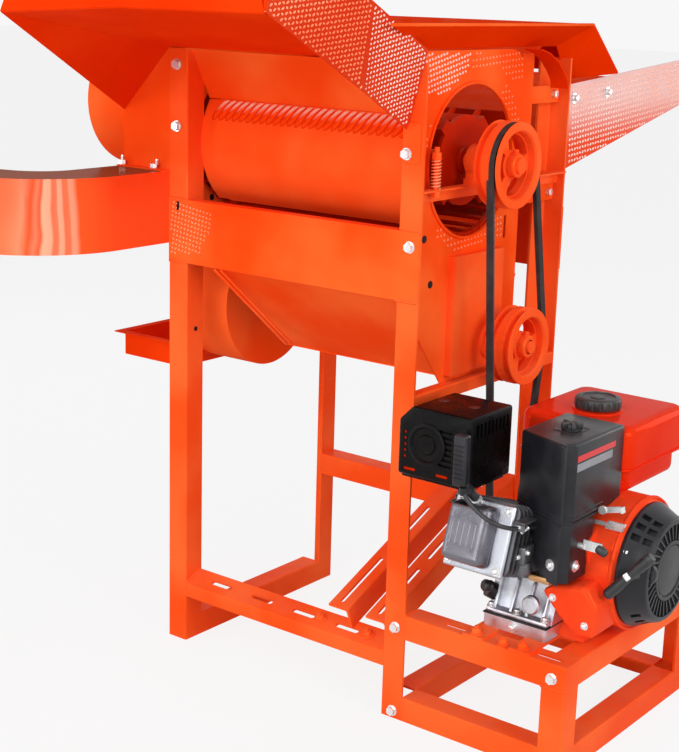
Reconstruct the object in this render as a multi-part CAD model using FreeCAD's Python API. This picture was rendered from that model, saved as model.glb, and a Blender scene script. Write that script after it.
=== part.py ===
import FreeCAD
import Part
import math
import os

V = FreeCAD.Vector
AXIS_X = V(1, 0, 0)
AXIS_Y = V(0, 1, 0)
AXIS_Z = V(0, 0, 1)
full_turn = 360
half_share = 0.5
quarter_share = 0.25

# Threshing machine with its engine on a bolted bed.
# X runs along the machine from the straw outlet to the engine, Y from the feeding side to the
# back, Z up. Lengths are millimetres, angles degrees. While the pieces are made, the zero of X
# and Y is the outer corner where the two flanges of the front left post meet.

# Main frame
bay_width = 432
bay_depth = 420
post_height = 1034
iron = 40
iron_wall = 4
small_iron = 20
small_wall = 3
bend_radius = 3
beam_drop = 246
beam_height = 106
sheet = 2
touch_gap = 0.3
overrun = 5

# Low front rail with its sloping slotted flange, and the inclined rails that rest on it
low_rail_bottom = 84
low_rail_rise = 25
low_rail_slope = 26
low_rail_flange = 40
low_slot_length = 46
low_slot_width = 9
low_slot_pitch = 92
low_slot_start = 70
middle_rail_top = 262
inclined_first = 316
inclined_front = 22
inclined_slot_length = 120
inclined_slot_width = 7
inclined_slot_gap = 26

# Side bars under the end plates
side_bar_drop = 52

# Engine bed
bed_length = 290
bed_height = 180
bed_slot_length = 46
bed_slot_width = 9
cross_rail_width = 36
cross_rail_wall = 4
cross_rail_near_inset = 13
cross_rail_far_inset = 95

# Drum and its casing
drum_from_front = 157
drum_below_post_top = 152
guard_radius = 126
guard_start = 26
guard_top_angle = 145.7
guard_low_angle = 231.3
apron_below_post_top = 2
apron_front = 10
drum_shaft_radius = 12.5
shaft_fit = 0.05
running_gap = 0.08
drum_start = 14
drum_past_bay = 8
disc_radius = 70
disc_wall = 6
bar_height = 12
bar_width = 22
bar_count = 4
peg_radius = 5
peg_tip_radius = 101
peg_pitch = 48
paddle_radius = 100
paddle_width = 84
concave_radius = 112
concave_rod = 3.5
concave_rod_step = 11
concave_rib = 8
concave_from_angle = 204
concave_to_angle = 336

# End plates
plate_out = 20
window_radius = 117
plate_depth = 304
plate_below_rim = 3
plate_corner = 46
plate_cut_height = 120
plate_cut_depth = 96
plate_slot_height = 38
plate_slot_width = 7
tab_height = 28
tab_below_drum = 82
tab_above_drum = 80

# Bearing bar, bearings and the spring adjuster
bearing_bar_drop = 33
bearing_bar_width = 20
bearing_bar_gap = 4
bearing_wall = 14
bearing_radius = 31
bearing_ring_share = 0.78
bearing_ear_share = 0.8
block_radius = 27
block_web_share = 0.8
adjuster_from_front = 37
adjuster_radius = 4
adjuster_rise = 63
nut_width = 13
adjuster_on_bar = 14
nut_height = 8
washer_wall = 2
washer_share = 0.6
spring_radius = 6.6
spring_wire = 1.1
spring_turns = 9
spring_seat_gap = 0.3

# Straw casing and chute at the left end
straw_box_length = 107
chute_below_drum = 49
chute_height = 121
chute_run = 120
chute_bend_radius = 134
chute_bend = 75
chute_tail = 60
chute_lip = 18
round_end_length = 130
round_end_radius = 118
round_end_rise = 51

# Lower body, fan and grain tray
trough_start = 57
trough_top_rise = 94
trough_bottom_drop = 69
trough_floor_front = 196
trough_floor_width = 46
trough_flange = 12
fan_from_front = 219
fan_case_drop = 3
fan_shaft_radius = 10
fan_case_radius = 119
fan_case_length = 105
fan_inlet_radius = 44
fan_blade_count = 6
fan_blade_tip = 104
fan_blade_root = 22
fan_disc_share = 0.6
fan_hub_radius = 18
fan_hanger_width = 48
fan_hanger_lap = 48
grain_tray_length = 145
grain_tray_drop = 79
grain_tray_height = 44
grain_tray_rim = 14
channel_width = 141
channel_before_fan = 110
channel_below_fan = 42
channel_above_fan = 148
channel_height = 13

# Trays, wings, hopper rims and rear hood
tray_reach = 361
tray_above_post = 3
tray_lip_rise = 66
tray_lip_height = 30
tray_lip_lean = 10
lip_corner_share = 0.12
tray_crease = 213
tray_corner_drop = 13
tray_corner_in = 11
spill_drop = 109
fold_shift = 2.4
wing_low_drop = 115
wing_low_in = 32
wing_top_rise = 127
wing_top_reach = 300
wing_front_rise = 37
wing_tab_length = 60
wing_tab_width = 26
rim_out = 48
rim_above_post = 19
rim_rise = 35
rim_front_low = 12
rim_front_top = -130
rim_inside_bay = 20
ridge_behind_bay = 13
eave_behind_bay = 108
eave_drop = 80
hood_side_drop = 54
hood_side_behind_bay = 17
back_reach = 428
back_wing_low_drop = 200
back_wing_high_drop = 61
back_wing_end_low_drop = 109
back_wing_end_high_drop = 27
back_floor_start_drop = 148
back_floor_end_drop = 68
back_tongue_front = 292

# Pulleys and belt
pulley_from_post = 28
pulley_width = 40
groove_share = 0.27
groove_width = 13.6
groove_depth = 11
groove_half_angle = 19
drum_pulley_radius = 66.5
fan_pulley_radius = 62
engine_pulley_radius = 46
rim_wall = 16
hub_radius = 19
spoke_width = 15
spoke_wall = 12
spoke_count = 3
belt_width = 12.6
belt_height = 8
belt_drop = 1.2
belt_gap = 0.35

# Engine
crank_from_front = 190
crank_rise = 106
crank_radius = 10
base_from_post = 113
base_length = 112
base_reach = 141
base_depth = 196
base_height = 20
case_length = 112
case_radius = 62
case_reach = 98
case_behind_crank = 72
case_top_rise = 58
side_cover_wall = 12
cylinder_tilt = 18
cylinder_along = 33
cylinder_length = 128
cylinder_core = 40
cylinder_start = 48
fin_count = 11
fin_wall = 2.4
fin_width = 106
fin_depth = 108
fin_edge = 14
cover_width = 98
cover_depth = 104
cover_height = 34
cover_round = 14
blower_wall = 84
blower_radius = 104
blower_lift = 4
blower_neck_shares = (0.95, 1.05, 0.3)
blower_neck_rise = 48
blower_foot_shares = (0.75, 0.6)
recoil_wall = 44
recoil_radius = 97
recoil_face_radius = 66
grip_length = 96
grip_width = 16
grip_reach = 112
grip_out = 30
grip_pull_tilt = 10
grip_roll = 50
grip_round = 4.8
rope_boss_radius = 10
rope_boss_start = 56
muffler_lead = 108
muffler_length = 130
muffler_reach = 234
muffler_depth = 112
muffler_rise = 139
muffler_height = 109
muffler_chamfer = 24
stub_radius = 14
stub_reach = 52
stub_half_width = 12
stub_floor = 16
air_along = 55
air_length = 94
air_reach = 170
air_depth = 150
air_rise = 10
air_height = 205
air_round = 9
air_top_round = 3
air_slant = 30
air_neck_depth = 88
air_waist = 115
knob_radius = 12
knob_height = 14
tank_lead = 32
tank_length = 195
tank_reach = 16
tank_depth = 206
tank_rise = 104
tank_height = 109
tank_round = 26
tank_waist = 10
tank_split_share = 0.4
cap_radius = 37
cap_round = 3
tank_neck_radius = 29.6
cap_height = 22
cap_back = 74
cap_along = 100
lever_width = 9
lever_wall = 2.5
lever_tip = 10
lever_boss_share = 1.4
choke_blade_share = 1.2
throttle_out = 12
throttle_behind_front = 92
throttle_above_low = 93
throttle_length = 36
throttle_rise = 14
bracket_wall = 3
bracket_length = 24
bracket_below = 27
bracket_above = 17
choke_behind_front = 40
choke_above_low = 49
choke_stem = 12
choke_length = 40
plug_radius = 13
plug_length = 24
plug_head_share = 0.6
plug_tilt = 30
spark_cap_width = 22
spark_cap_wall = 16
spark_cap_length = 78
spark_cap_side = 14
lead_from_cap = 8
spark_cap_out = 28
spark_cap_rise = 12
boot_radius = 6
boot_back = 12
boot_rise = 2
boot_run = 38
boot_fall = 33
lead_radius = 3.4
lead_bend = 14
lead_in_cap = 3.6
lead_drop = 17
lead_on_cleaner = 44
lead_side_rise = 88
lead_end_rise = 76

# Fasteners
bolt_radius = 4
bolt_hole_gap = 0.3
bolt_head = 13
bolt_head_height = 6
bolt_washer_radius = 9
bolt_washer = 1.5
bolt_clear_share = 0.25
bolt_small = 11
bolt_inset = 23
bolt_drops_left = (126, 26)
bolt_foot_height = 13
wing_bolt_in = 11
wing_bolt_drop = 132
chute_stud_in = 9
tab_bolt_inset = 22

# Derived places
right_x = bay_width
outer_left = -iron
outer_right = bay_width + iron
plate_face = bay_width + plate_out
drum_end = bay_width + drum_past_bay
plate_x = plate_face - sheet
left_face = -plate_out
left_plate_x = left_face
wing_x = outer_right - sheet
bar_x = plate_face + bearing_bar_gap
bed_end = outer_right + bed_length
beam_top = post_height - beam_drop
beam_low = beam_top - beam_height
straw_end = outer_left - straw_box_length
round_end_x = straw_end - round_end_length
straw_depth = 2 * drum_from_front
back_end = bay_depth + back_reach
ridge_from_front = bay_depth + ridge_behind_bay
eave_from_front = bay_depth + eave_behind_bay
rim_back_low = bay_depth - rim_inside_bay
hood_side_back = bay_depth + hood_side_behind_bay

# Derived heights of the threshing body
drum_height = post_height - drum_below_post_top
apron_top = post_height - apron_below_post_top
rim_low = post_height + rim_above_post
rim_top = rim_low + rim_rise
plate_top = rim_low - plate_below_rim
tab_low = drum_height - tab_below_drum
tab_high = drum_height + tab_above_drum
bearing_bar_top = drum_height - bearing_bar_drop
adjuster_top = bearing_bar_top + adjuster_rise
round_end_height = drum_height + round_end_rise
chute_top = drum_height - chute_below_drum
chute_bottom = chute_top - chute_height
fan_height = chute_bottom - fan_case_drop - fan_case_radius
fan_hanger_top = chute_bottom + fan_hanger_lap
side_bar_top = fan_height - side_bar_drop
trough_top = fan_height + trough_top_rise
trough_bottom = fan_height - trough_bottom_drop
grain_tray_top = fan_height - grain_tray_drop
channel_front = fan_from_front - channel_before_fan
channel_low = fan_height - channel_below_fan
channel_top = fan_height + channel_above_fan
tray_back = post_height + tray_above_post
tray_lip = tray_back + tray_lip_rise
tray_corner = tray_lip - tray_corner_drop
spill_low = tray_back - spill_drop
wing_low = rim_low - wing_low_drop
wing_top_height = rim_low + wing_top_rise
wing_front_height = tray_lip + wing_front_rise
eave_height = rim_top - eave_drop
hood_side_low = rim_low - hood_side_drop
back_wing_low = rim_low - back_wing_low_drop
back_wing_high = rim_low - back_wing_high_drop
back_wing_end_low = rim_low - back_wing_end_low_drop
back_wing_end_high = rim_low - back_wing_end_high_drop
back_floor_start = rim_low - back_floor_start_drop
back_floor_end = rim_low - back_floor_end_drop

# Derived places of the drive and the engine
cross_rail_top = bed_height + cross_rail_wall
crank_height = cross_rail_top + crank_rise
pulley_start = outer_right + pulley_from_post
belt_x = pulley_start + pulley_width * (1 - groove_share)
base_start = outer_right + base_from_post
base_front = crank_from_front - base_reach
cross_rail_near = base_start + cross_rail_near_inset
cross_rail_far = base_start + cross_rail_far_inset
case_start = base_start
case_front = crank_from_front - case_reach
case_back = crank_from_front + case_behind_crank
cylinder_middle = case_start + cylinder_along
blower_start = case_start + case_length
recoil_start = blower_start + blower_wall
recoil_face = recoil_start + recoil_wall
muffler_start = case_start - muffler_lead
muffler_front = crank_from_front - muffler_reach
muffler_low = crank_height + muffler_rise
air_start = case_start + air_along
air_front = crank_from_front - air_reach
air_low = crank_height + air_rise
tank_start = case_start - tank_lead
tank_front = crank_from_front - tank_reach
tank_low = crank_height + tank_rise
throttle_back = air_front + throttle_behind_front
throttle_height = air_low + throttle_above_low
bracket_low = throttle_height - bracket_below
bracket_high = throttle_height + bracket_above
choke_back = air_front + choke_behind_front
choke_height = air_low + choke_above_low
spark_cap_along = cylinder_middle - spark_cap_side
spark_cap_front = muffler_front - spark_cap_out
spark_cap_low = muffler_low + spark_cap_rise
boot_end_from_front = spark_cap_front + boot_run
boot_end_height = spark_cap_low - boot_fall
lead_along = spark_cap_along + lead_from_cap
lead_front = spark_cap_front + lead_in_cap
lead_drop_height = spark_cap_low - lead_drop
lead_side = air_start + lead_on_cleaner
lead_side_height = air_low + lead_side_rise
lead_end_height = air_low + lead_end_rise

nodes = {}


def box(x0, x1, y0, y1, z0, z1):
    return Part.makeBox(x1 - x0, y1 - y0, z1 - z0, V(x0, y0, z0))


def fuse(shapes):
    whole = shapes[0]
    if len(shapes) > 1:
        whole = whole.fuse(shapes[1:])
    return whole.removeSplitter()


def polygon(points):
    return Part.Face(Part.makePolygon(points + [points[0]]))


def prism(points, shift):
    return polygon(points).extrude(shift)


def rod_x(x0, length, y, z, radius):
    return Part.makeCylinder(radius, length, V(x0, y, z), AXIS_X)


def rod_z(x, y, z0, length, radius):
    return Part.makeCylinder(radius, length, V(x, y, z0), AXIS_Z)


def hexagon(centre, axis, width, height):
    """A hexagonal prism, width across flats, standing on centre along axis."""
    reach = width / math.sqrt(3)
    side = V(0, 0, 1) if abs(axis.z) < half_share else V(1, 0, 0)
    other = axis.cross(side)
    corners = []
    for k in range(6):
        turn = math.radians(k * 60)
        corners.append(centre + side * (reach * math.cos(turn)) + other * (reach * math.sin(turn)))
    return prism(corners, axis * height)


def angle_iron(corner, run, side_a, side_b, size=iron, wall=iron_wall):
    """A straight angle iron: two flanges leave the corner along side_a and side_b."""
    def at(a, b):
        return corner + side_a * a + side_b * b
    inner = wall + bend_radius
    diagonal = 1 - math.sqrt(half_share)
    edges = [
        Part.makeLine(at(bend_radius, 0), at(size, 0)),
        Part.makeLine(at(size, 0), at(size, wall)),
        Part.makeLine(at(size, wall), at(inner, wall)),
        Part.Arc(at(inner, wall), at(wall + bend_radius * diagonal, wall + bend_radius * diagonal),
                 at(wall, inner)).toShape(),
        Part.makeLine(at(wall, inner), at(wall, size)),
        Part.makeLine(at(wall, size), at(0, size)),
        Part.makeLine(at(0, size), at(0, bend_radius)),
        Part.Arc(at(0, bend_radius), at(bend_radius * diagonal, bend_radius * diagonal),
                 at(bend_radius, 0)).toShape(),
    ]
    return Part.Face(Part.Wire(edges)).extrude(run)


def slot_cutter(centre, along, normal, length, width, depth):
    """A round-ended slot cutter, centred on a surface and reaching both ways through it."""
    across = normal.cross(along)
    half = (length - width) * half_share
    radius = width * half_share
    a = centre - along * half + across * radius
    b = centre + along * half + across * radius
    c = centre + along * half - across * radius
    d = centre - along * half - across * radius
    edges = [
        Part.makeLine(a, b),
        Part.Arc(b, centre + along * (half + radius), c).toShape(),
        Part.makeLine(c, d),
        Part.Arc(d, centre - along * (half + radius), a).toShape(),
    ]
    face = Part.Face(Part.Wire(edges))
    face.translate(normal * (-depth))
    return face.extrude(normal * (2 * depth))


def ring_point(y, z, radius, angle, x=0):
    turn = math.radians(angle)
    return V(x, y + radius * math.cos(turn), z + radius * math.sin(turn))


def arc_band(x0, length, y, z, r_in, r_out, start, end):
    """Part of a tube round an axis along X, from angle start to end, measured from +Y to +Z."""
    middle = (start + end) * half_share
    edges = [
        Part.Arc(ring_point(y, z, r_out, start, x0), ring_point(y, z, r_out, middle, x0),
                 ring_point(y, z, r_out, end, x0)).toShape(),
        Part.makeLine(ring_point(y, z, r_out, end, x0), ring_point(y, z, r_in, end, x0)),
        Part.Arc(ring_point(y, z, r_in, end, x0), ring_point(y, z, r_in, middle, x0),
                 ring_point(y, z, r_in, start, x0)).toShape(),
        Part.makeLine(ring_point(y, z, r_in, start, x0), ring_point(y, z, r_out, start, x0)),
    ]
    return Part.Face(Part.Wire(edges)).extrude(AXIS_X * length)


def folded_sheet(panels, shift):
    """Flat panels that share edges, all thickened along one shift so that their folds close."""
    return fuse([prism(points, shift) for points in panels])


def rounded_box(x0, x1, y0, y1, z0, z1, radius, directions):
    """A box with the edges along the named directions rounded."""
    body = box(x0, x1, y0, y1, z0, z1)
    chosen = []
    for edge in body.Edges:
        run = edge.tangentAt(edge.FirstParameter)
        for direction in directions:
            if abs(run.dot(direction)) > half_share:
                chosen.append(edge)
    return body.makeFillet(radius, chosen)


def turned_z(shape, x, y, angle):
    copy = shape.copy()
    copy.rotate(V(x, y, 0), AXIS_Z, angle)
    return copy


# Frame

def make_posts():
    up = V(0, 0, post_height)
    nodes["posts"] = Part.makeCompound([
        angle_iron(V(0, 0, 0), up, -AXIS_X, AXIS_Y),
        angle_iron(V(right_x, 0, 0), up, AXIS_X, AXIS_Y),
        angle_iron(V(0, bay_depth, 0), up, -AXIS_X, -AXIS_Y),
        angle_iron(V(right_x, bay_depth, 0), up, AXIS_X, -AXIS_Y)])


def make_floor_rails():
    inner_front = iron
    inner_back = bay_depth - iron
    run = V(0, inner_back - inner_front, 0)
    left = angle_iron(V(0, inner_front, iron), run, -AXIS_X, -AXIS_Z)
    along = V(bed_length - iron, 0, 0)
    front = angle_iron(V(outer_right, 0, iron), along, AXIS_Y, -AXIS_Z)
    back = angle_iron(V(outer_right, bay_depth, iron), along, -AXIS_Y, -AXIS_Z)
    right = angle_iron(V(bed_end, inner_front, iron), run, -AXIS_X, -AXIS_Z)
    middle = angle_iron(V(outer_right, inner_front, iron), run, -AXIS_X, -AXIS_Z)
    nodes["floor_rails"] = Part.makeCompound([left, front, back, right, middle])


def low_rail_point(along_flange):
    turn = math.radians(low_rail_slope)
    top = low_rail_bottom + low_rail_rise
    return V(0, along_flange * math.cos(turn), top + along_flange * math.sin(turn))


def make_low_front_rail():
    turn = math.radians(low_rail_slope)
    top = V(0, 0, low_rail_bottom + low_rail_rise)
    slope = V(0, math.cos(turn), math.sin(turn))
    below = V(0, math.sin(turn), -math.cos(turn)) * iron_wall
    back = V(0, iron_wall, 0)
    inner_top = top + back - V(0, 0, iron_wall * math.cos(turn))
    points = [
        V(0, 0, low_rail_bottom),
        top,
        top + slope * low_rail_flange,
        top + slope * low_rail_flange + below,
        inner_top + slope * iron_wall,
        V(0, iron_wall, low_rail_bottom),
    ]
    rail = prism(points, V(bay_width, 0, 0))
    place = low_rail_point(low_rail_flange * half_share)
    normal = AXIS_X.cross(slope)
    x = low_slot_start
    while x < bay_width - low_slot_length:
        rail = rail.cut(slot_cutter(V(x, place.y, place.z), AXIS_X, normal,
                                    low_slot_length, low_slot_width, iron))
        x += low_slot_pitch
    nodes["front_low_rail"] = rail


def make_cross_bars():
    y0 = iron_wall
    run = V(0, bay_depth - 2 * iron_wall, 0)
    right = angle_iron(V(outer_right, y0, side_bar_top), run, -AXIS_X, -AXIS_Z,
                       small_iron, small_wall)
    back = angle_iron(V(0, bay_depth - iron, middle_rail_top), V(bay_width, 0, 0),
                      AXIS_Y, -AXIS_Z)
    nodes["cross_bars"] = Part.makeCompound([right, back])


def make_inclined_rails():
    """Two slotted angle irons that climb from the low front rail to the back rail."""
    start = low_rail_point(inclined_front)
    end_y = bay_depth - iron
    rise = middle_rail_top - start.z + overrun
    run = V(0, end_y - start.y + small_iron, 0)
    climb = math.degrees(math.atan2(rise, end_y - start.y))
    length = run.y / math.cos(math.radians(climb))
    rails = []
    for k in range(2):
        x = inclined_first + k * (bay_width - iron - touch_gap - inclined_first)
        corner = V(x + iron, 0, iron)
        bar = angle_iron(corner, V(0, length, 0), -AXIS_X, -AXIS_Z)
        middle_x = x + (iron - iron_wall) * half_share
        step = inclined_slot_length + inclined_slot_gap
        y = step * half_share
        while y + inclined_slot_length * half_share < length:
            bar = bar.cut(slot_cutter(V(middle_x, y, iron), AXIS_Y, AXIS_Z, inclined_slot_length,
                                      inclined_slot_width, iron * half_share))
            y += step
        bar.rotate(V(0, 0, 0), AXIS_X, climb)
        bar.translate(V(0, start.y, start.z + touch_gap * 2))
        rails.append(bar)
    keep = box(0, bay_width, 0, bay_depth, 0, post_height)
    trimmed = []
    for bar in rails:
        lower = nodes["front_low_rail"]
        trimmed.append(bar.common(keep).cut(lower).cut(nodes["cross_bars"]))
    nodes["inclined_rails"] = Part.makeCompound([one.Solids[0] for one in trimmed])


def make_bed():
    top = bed_height
    front = angle_iron(V(outer_right, 0, top), V(bed_length, 0, 0), AXIS_Y, -AXIS_Z)
    back = angle_iron(V(outer_right, bay_depth, top), V(bed_length, 0, 0), -AXIS_Y, -AXIS_Z)
    run = V(0, bay_depth - 2 * iron, 0)
    right = angle_iron(V(bed_end, iron, top), run, -AXIS_X, -AXIS_Z)
    cheeks = [box(bed_end - iron_wall, bed_end, iron_wall, iron, top - iron, top - iron_wall),
              box(bed_end - iron_wall, bed_end, bay_depth - iron, bay_depth - iron_wall,
                  top - iron, top - iron_wall)]
    right = fuse([right] + cheeks)
    slots = [outer_right + iron + bed_slot_length, bed_end - iron]
    for x in slots:
        for y in (iron * half_share, bay_depth - iron * half_share):
            cutter = slot_cutter(V(x, y, top), AXIS_X, AXIS_Z, bed_slot_length, bed_slot_width,
                                 iron * half_share)
            front = front.cut(cutter)
            back = back.cut(cutter)
    nodes["bed_top_rails"] = Part.makeCompound([front, back, right])
    up = V(0, 0, bed_height - iron)
    nodes["bed_posts"] = Part.makeCompound([
        angle_iron(V(bed_end, 0, 0), up, -AXIS_X, AXIS_Y),
        angle_iron(V(bed_end, bay_depth, 0), up, -AXIS_X, -AXIS_Y)])
    rails = []
    for x in (cross_rail_near, cross_rail_far):
        half = cross_rail_width * half_share
        rails.append(box(x - half, x + half, 0, bay_depth, bed_height, cross_rail_top))
    nodes["engine_cross_rails"] = Part.makeCompound(rails)


def make_beams():
    width = outer_right - outer_left
    front = box(outer_left, outer_right, -sheet, 0, beam_low, beam_top)
    lip = box(iron_wall, bay_width - iron_wall, 0, iron * half_share, beam_top - sheet, beam_top)
    slot = slot_cutter(V(outer_left + iron * half_share, 0, beam_top - iron * half_share), AXIS_Z,
                       AXIS_Y, iron * half_share, bolt_radius, iron)
    nodes["beam_front"] = fuse([front, lip]).cut(slot)
    nodes["beam_back"] = box(outer_left, outer_left + width, bay_depth, bay_depth + sheet,
                             beam_low, beam_top)


# Threshing body

def make_end_plates():
    plate_back = iron_wall + plate_depth
    low = side_bar_top - small_wall
    outline = box(plate_x, plate_face, iron_wall, plate_back, low, plate_top)
    corner = [e for e in outline.Edges
              if abs(e.CenterOfMass.y - plate_back) < sheet and e.CenterOfMass.z > plate_top - sheet
              and abs(e.tangentAt(e.FirstParameter).x) > half_share]
    plate = outline.makeFillet(plate_corner, corner)
    cut = [V(plate_x, iron_wall, low), V(plate_x, iron_wall + plate_cut_depth, low),
           V(plate_x, iron_wall, low + plate_cut_height)]
    window = rod_x(plate_x - overrun, sheet + 2 * overrun, drum_from_front, drum_height,
                   window_radius)
    shaft_hole = rod_x(plate_x - overrun, sheet + 2 * overrun, fan_from_front, fan_height,
                       fan_shaft_radius + running_gap + sheet)
    slot = slot_cutter(V(plate_x, plate_back - iron, beam_top - iron * half_share), AXIS_Z, AXIS_X,
                       plate_slot_height, plate_slot_width, iron)
    tabs = []
    for z in (tab_low, tab_high):
        tabs.append(box(plate_x, plate_face, plate_back, bay_depth - iron_wall, z,
                        z + tab_height))
    plate = plate.cut(prism(cut, AXIS_X * sheet)).cut(window).cut(shaft_hole).cut(slot)
    nodes["end_plate_right"] = fuse([plate] + tabs)
    passage = rod_x(left_plate_x - overrun, sheet + 2 * overrun, drum_from_front, drum_height,
                    window_radius)
    left = box(left_plate_x, left_plate_x + sheet, iron_wall, bay_depth - iron_wall,
               chute_bottom, post_height)
    nodes["end_plate_left"] = left.cut(passage)


def make_drum_casing():
    length = bay_width - guard_start - touch_gap
    r_in = guard_radius - sheet
    shell = arc_band(guard_start, length, drum_from_front, drum_height,
                     r_in, guard_radius, guard_top_angle, guard_low_angle)
    liner = arc_band(0, guard_start + iron, drum_from_front, drum_height,
                     r_in - sheet, r_in, guard_top_angle, guard_low_angle)
    nodes["drum_guard"] = fuse([shell, liner])
    rear_top = full_turn * half_share - guard_top_angle
    rear_low = full_turn * half_share - guard_low_angle
    nodes["rear_guard"] = arc_band(0, plate_x, drum_from_front, drum_height,
                                   r_in, guard_radius, rear_low, rear_top)
    seam = ring_point(drum_from_front, drum_height, guard_radius, guard_top_angle)
    inner = ring_point(drum_from_front, drum_height, r_in, guard_top_angle)
    step = V(0, inner.y - seam.y, 0)
    apron = [V(0, seam.y, seam.z + touch_gap), V(0, apron_front, apron_top),
             V(0, apron_front, apron_top) + step * 2, V(0, inner.y, seam.z + touch_gap)]
    nodes["front_apron"] = prism(apron, AXIS_X * bay_width)


def make_concave():
    pieces = []
    outer = concave_radius + concave_rib
    for x in (drum_start, (drum_start + drum_end) * half_share, drum_end):
        pieces.append(arc_band(x, concave_rib, drum_from_front, drum_height, concave_radius,
                               outer, concave_from_angle, concave_to_angle))
    angle = concave_from_angle + concave_rod_step
    middle = concave_radius + concave_rib * half_share
    while angle < concave_to_angle:
        place = ring_point(drum_from_front, drum_height, middle, angle)
        start = left_plate_x + sheet
        pieces.append(rod_x(start, plate_x - start, place.y, place.z, concave_rod))
        angle += concave_rod_step
    nodes["concave"] = fuse(pieces)


def make_straw_casing():
    x0 = straw_end
    x1 = outer_left
    x2 = left_plate_x
    top = rim_low
    low = chute_bottom
    depth = straw_depth
    wall = iron_wall
    pieces = [
        box(x0, x1, 0, sheet, chute_top, top),
        box(x0, x1, -chute_lip, sheet, chute_top, chute_top + sheet),
        box(x0, x0 + sheet, 0, depth, low, top),
        box(x0, x2, depth - sheet, depth, low, top),
    ]
    for z in (low, top - sheet):
        pieces.append(box(x0, x1, 0, depth, z, z + sheet))
        pieces.append(box(x1, x2, wall, depth, z, z + sheet))
    hole = rod_x(x0 - overrun, overrun + sheet, drum_from_front, round_end_height,
                 round_end_radius - sheet)
    nodes["straw_box"] = fuse(pieces).cut(hole)
    shell = rod_x(round_end_x, round_end_length, drum_from_front, round_end_height,
                  round_end_radius)
    inside = rod_x(round_end_x + sheet, round_end_length, drum_from_front, round_end_height,
                   round_end_radius - sheet)
    shaft = rod_x(round_end_x - overrun, 2 * overrun, drum_from_front, drum_height,
                  drum_shaft_radius + sheet)
    nodes["straw_round_end"] = shell.cut(inside).cut(shaft)


def chute_solid(inset, extra):
    """The straw chute's outline: straight out to the front, then round to the left."""
    x0 = straw_end + inset
    x1 = outer_left - inset
    z0 = chute_bottom + inset
    z1 = chute_top - inset
    centre = V((straw_end + outer_left) * half_share - chute_bend_radius, -chute_run, 0)
    first = box(x0, x1, -chute_run, extra, z0, z1)
    face = polygon([V(x0, -chute_run, z0), V(x1, -chute_run, z0),
                    V(x1, -chute_run, z1), V(x0, -chute_run, z1)])
    bend = face.revolve(centre, AXIS_Z, -chute_bend)
    tail = box(x0, x1, -chute_run - chute_tail - extra, -chute_run, z0, z1)
    tail.rotate(centre, AXIS_Z, -chute_bend)
    return fuse([first, bend, tail])


def make_chute():
    nodes["straw_chute"] = chute_solid(0, 0).cut(chute_solid(sheet, overrun))


def make_lower_body():
    x0 = trough_start
    x1 = plate_x
    floor_front = trough_floor_front
    floor_back = trough_floor_front + trough_floor_width
    rear = straw_depth
    start = iron_wall + touch_gap
    front = prism([V(x0, start, trough_top), V(x0, floor_front, trough_bottom),
                   V(x0, floor_front, trough_bottom) + V(0, sheet, sheet),
                   V(x0, start, trough_top) + V(0, sheet, sheet)], AXIS_X * (x1 - x0))
    edge = prism([V(x0, start, trough_top), V(x0, floor_front, trough_bottom),
                  V(x0, floor_front - trough_flange, trough_bottom + trough_flange),
                  V(x0, start + trough_flange, trough_top + trough_flange)],
                 AXIS_X * sheet)
    back = prism([V(x0, rear, trough_top), V(x0, floor_back, trough_bottom),
                  V(x0, floor_back, trough_bottom) + V(0, -sheet, sheet),
                  V(x0, rear, trough_top) + V(0, -sheet, sheet)], AXIS_X * (x1 - x0))
    floor = box(x0, x1, floor_front, floor_back + sheet, trough_bottom - sheet,
                trough_bottom + touch_gap)
    nodes["trough"] = fuse([front, edge, back, floor]).cut(nodes["posts"])


def make_fan_housing():
    x0 = -fan_case_length
    y = fan_from_front
    z = fan_height
    shell = rod_x(x0, fan_case_length, y, z, fan_case_radius)
    inside = rod_x(x0 + sheet, fan_case_length - 2 * sheet, y, z, fan_case_radius - sheet)
    inlets = rod_x(x0 - overrun, fan_case_length + 2 * overrun, y, z, fan_inlet_radius)
    hang_x = left_plate_x + sheet
    hanger = box(hang_x, hang_x + iron_wall, y - fan_hanger_width * half_share,
                 y + fan_hanger_width * half_share, z + fan_case_radius - 2 * overrun,
                 fan_hanger_top)
    bar = box(x0 + sheet, 0, y - fan_inlet_radius - overrun, y + fan_inlet_radius + overrun,
              z - bearing_radius * half_share, z + bearing_radius * half_share)
    keep = rod_x(x0, fan_case_length, y, z, fan_inlet_radius + overrun)
    spider = bar.common(keep).cut(box(x0 + sheet + sheet, -sheet, 0, bay_depth, 0, post_height))
    bore = rod_x(x0 - overrun, fan_case_length + 2 * overrun, y, z,
                 fan_shaft_radius + running_gap)
    case = fuse([shell.cut(inside).cut(inlets), hanger.cut(inside), spider]).cut(bore)
    nodes["fan_housing"] = case.cut(grain_outlet())


def grain_outlet():
    """The opening between the fan housing and the grain tray."""
    x0 = -fan_case_length
    half = fan_case_radius * half_share
    return box(x0 - overrun, x0 + sheet + overrun * half_share, fan_from_front - half,
               fan_from_front + half, grain_tray_top - grain_tray_height + 2 * sheet,
               grain_tray_top - 2 * sheet)


def make_grain_tray():
    x1 = -fan_case_length
    x0 = x1 - grain_tray_length
    y0 = fan_from_front - fan_case_radius
    y1 = fan_from_front + fan_case_radius
    z1 = grain_tray_top
    z0 = z1 - grain_tray_height
    rim = grain_tray_rim
    outer = box(x0, x1, y0, y1, z0, z1)
    inner = box(x0 + sheet, x1 - sheet, y0 + sheet, y1 - sheet, z0 + sheet, z1 + overrun)
    flange = box(x0 - rim, x1, y0 - rim, y1 + rim, z1 - sheet, z1)
    nodes["grain_tray"] = fuse([outer, flange]).cut(inner).cut(grain_outlet())


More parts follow.
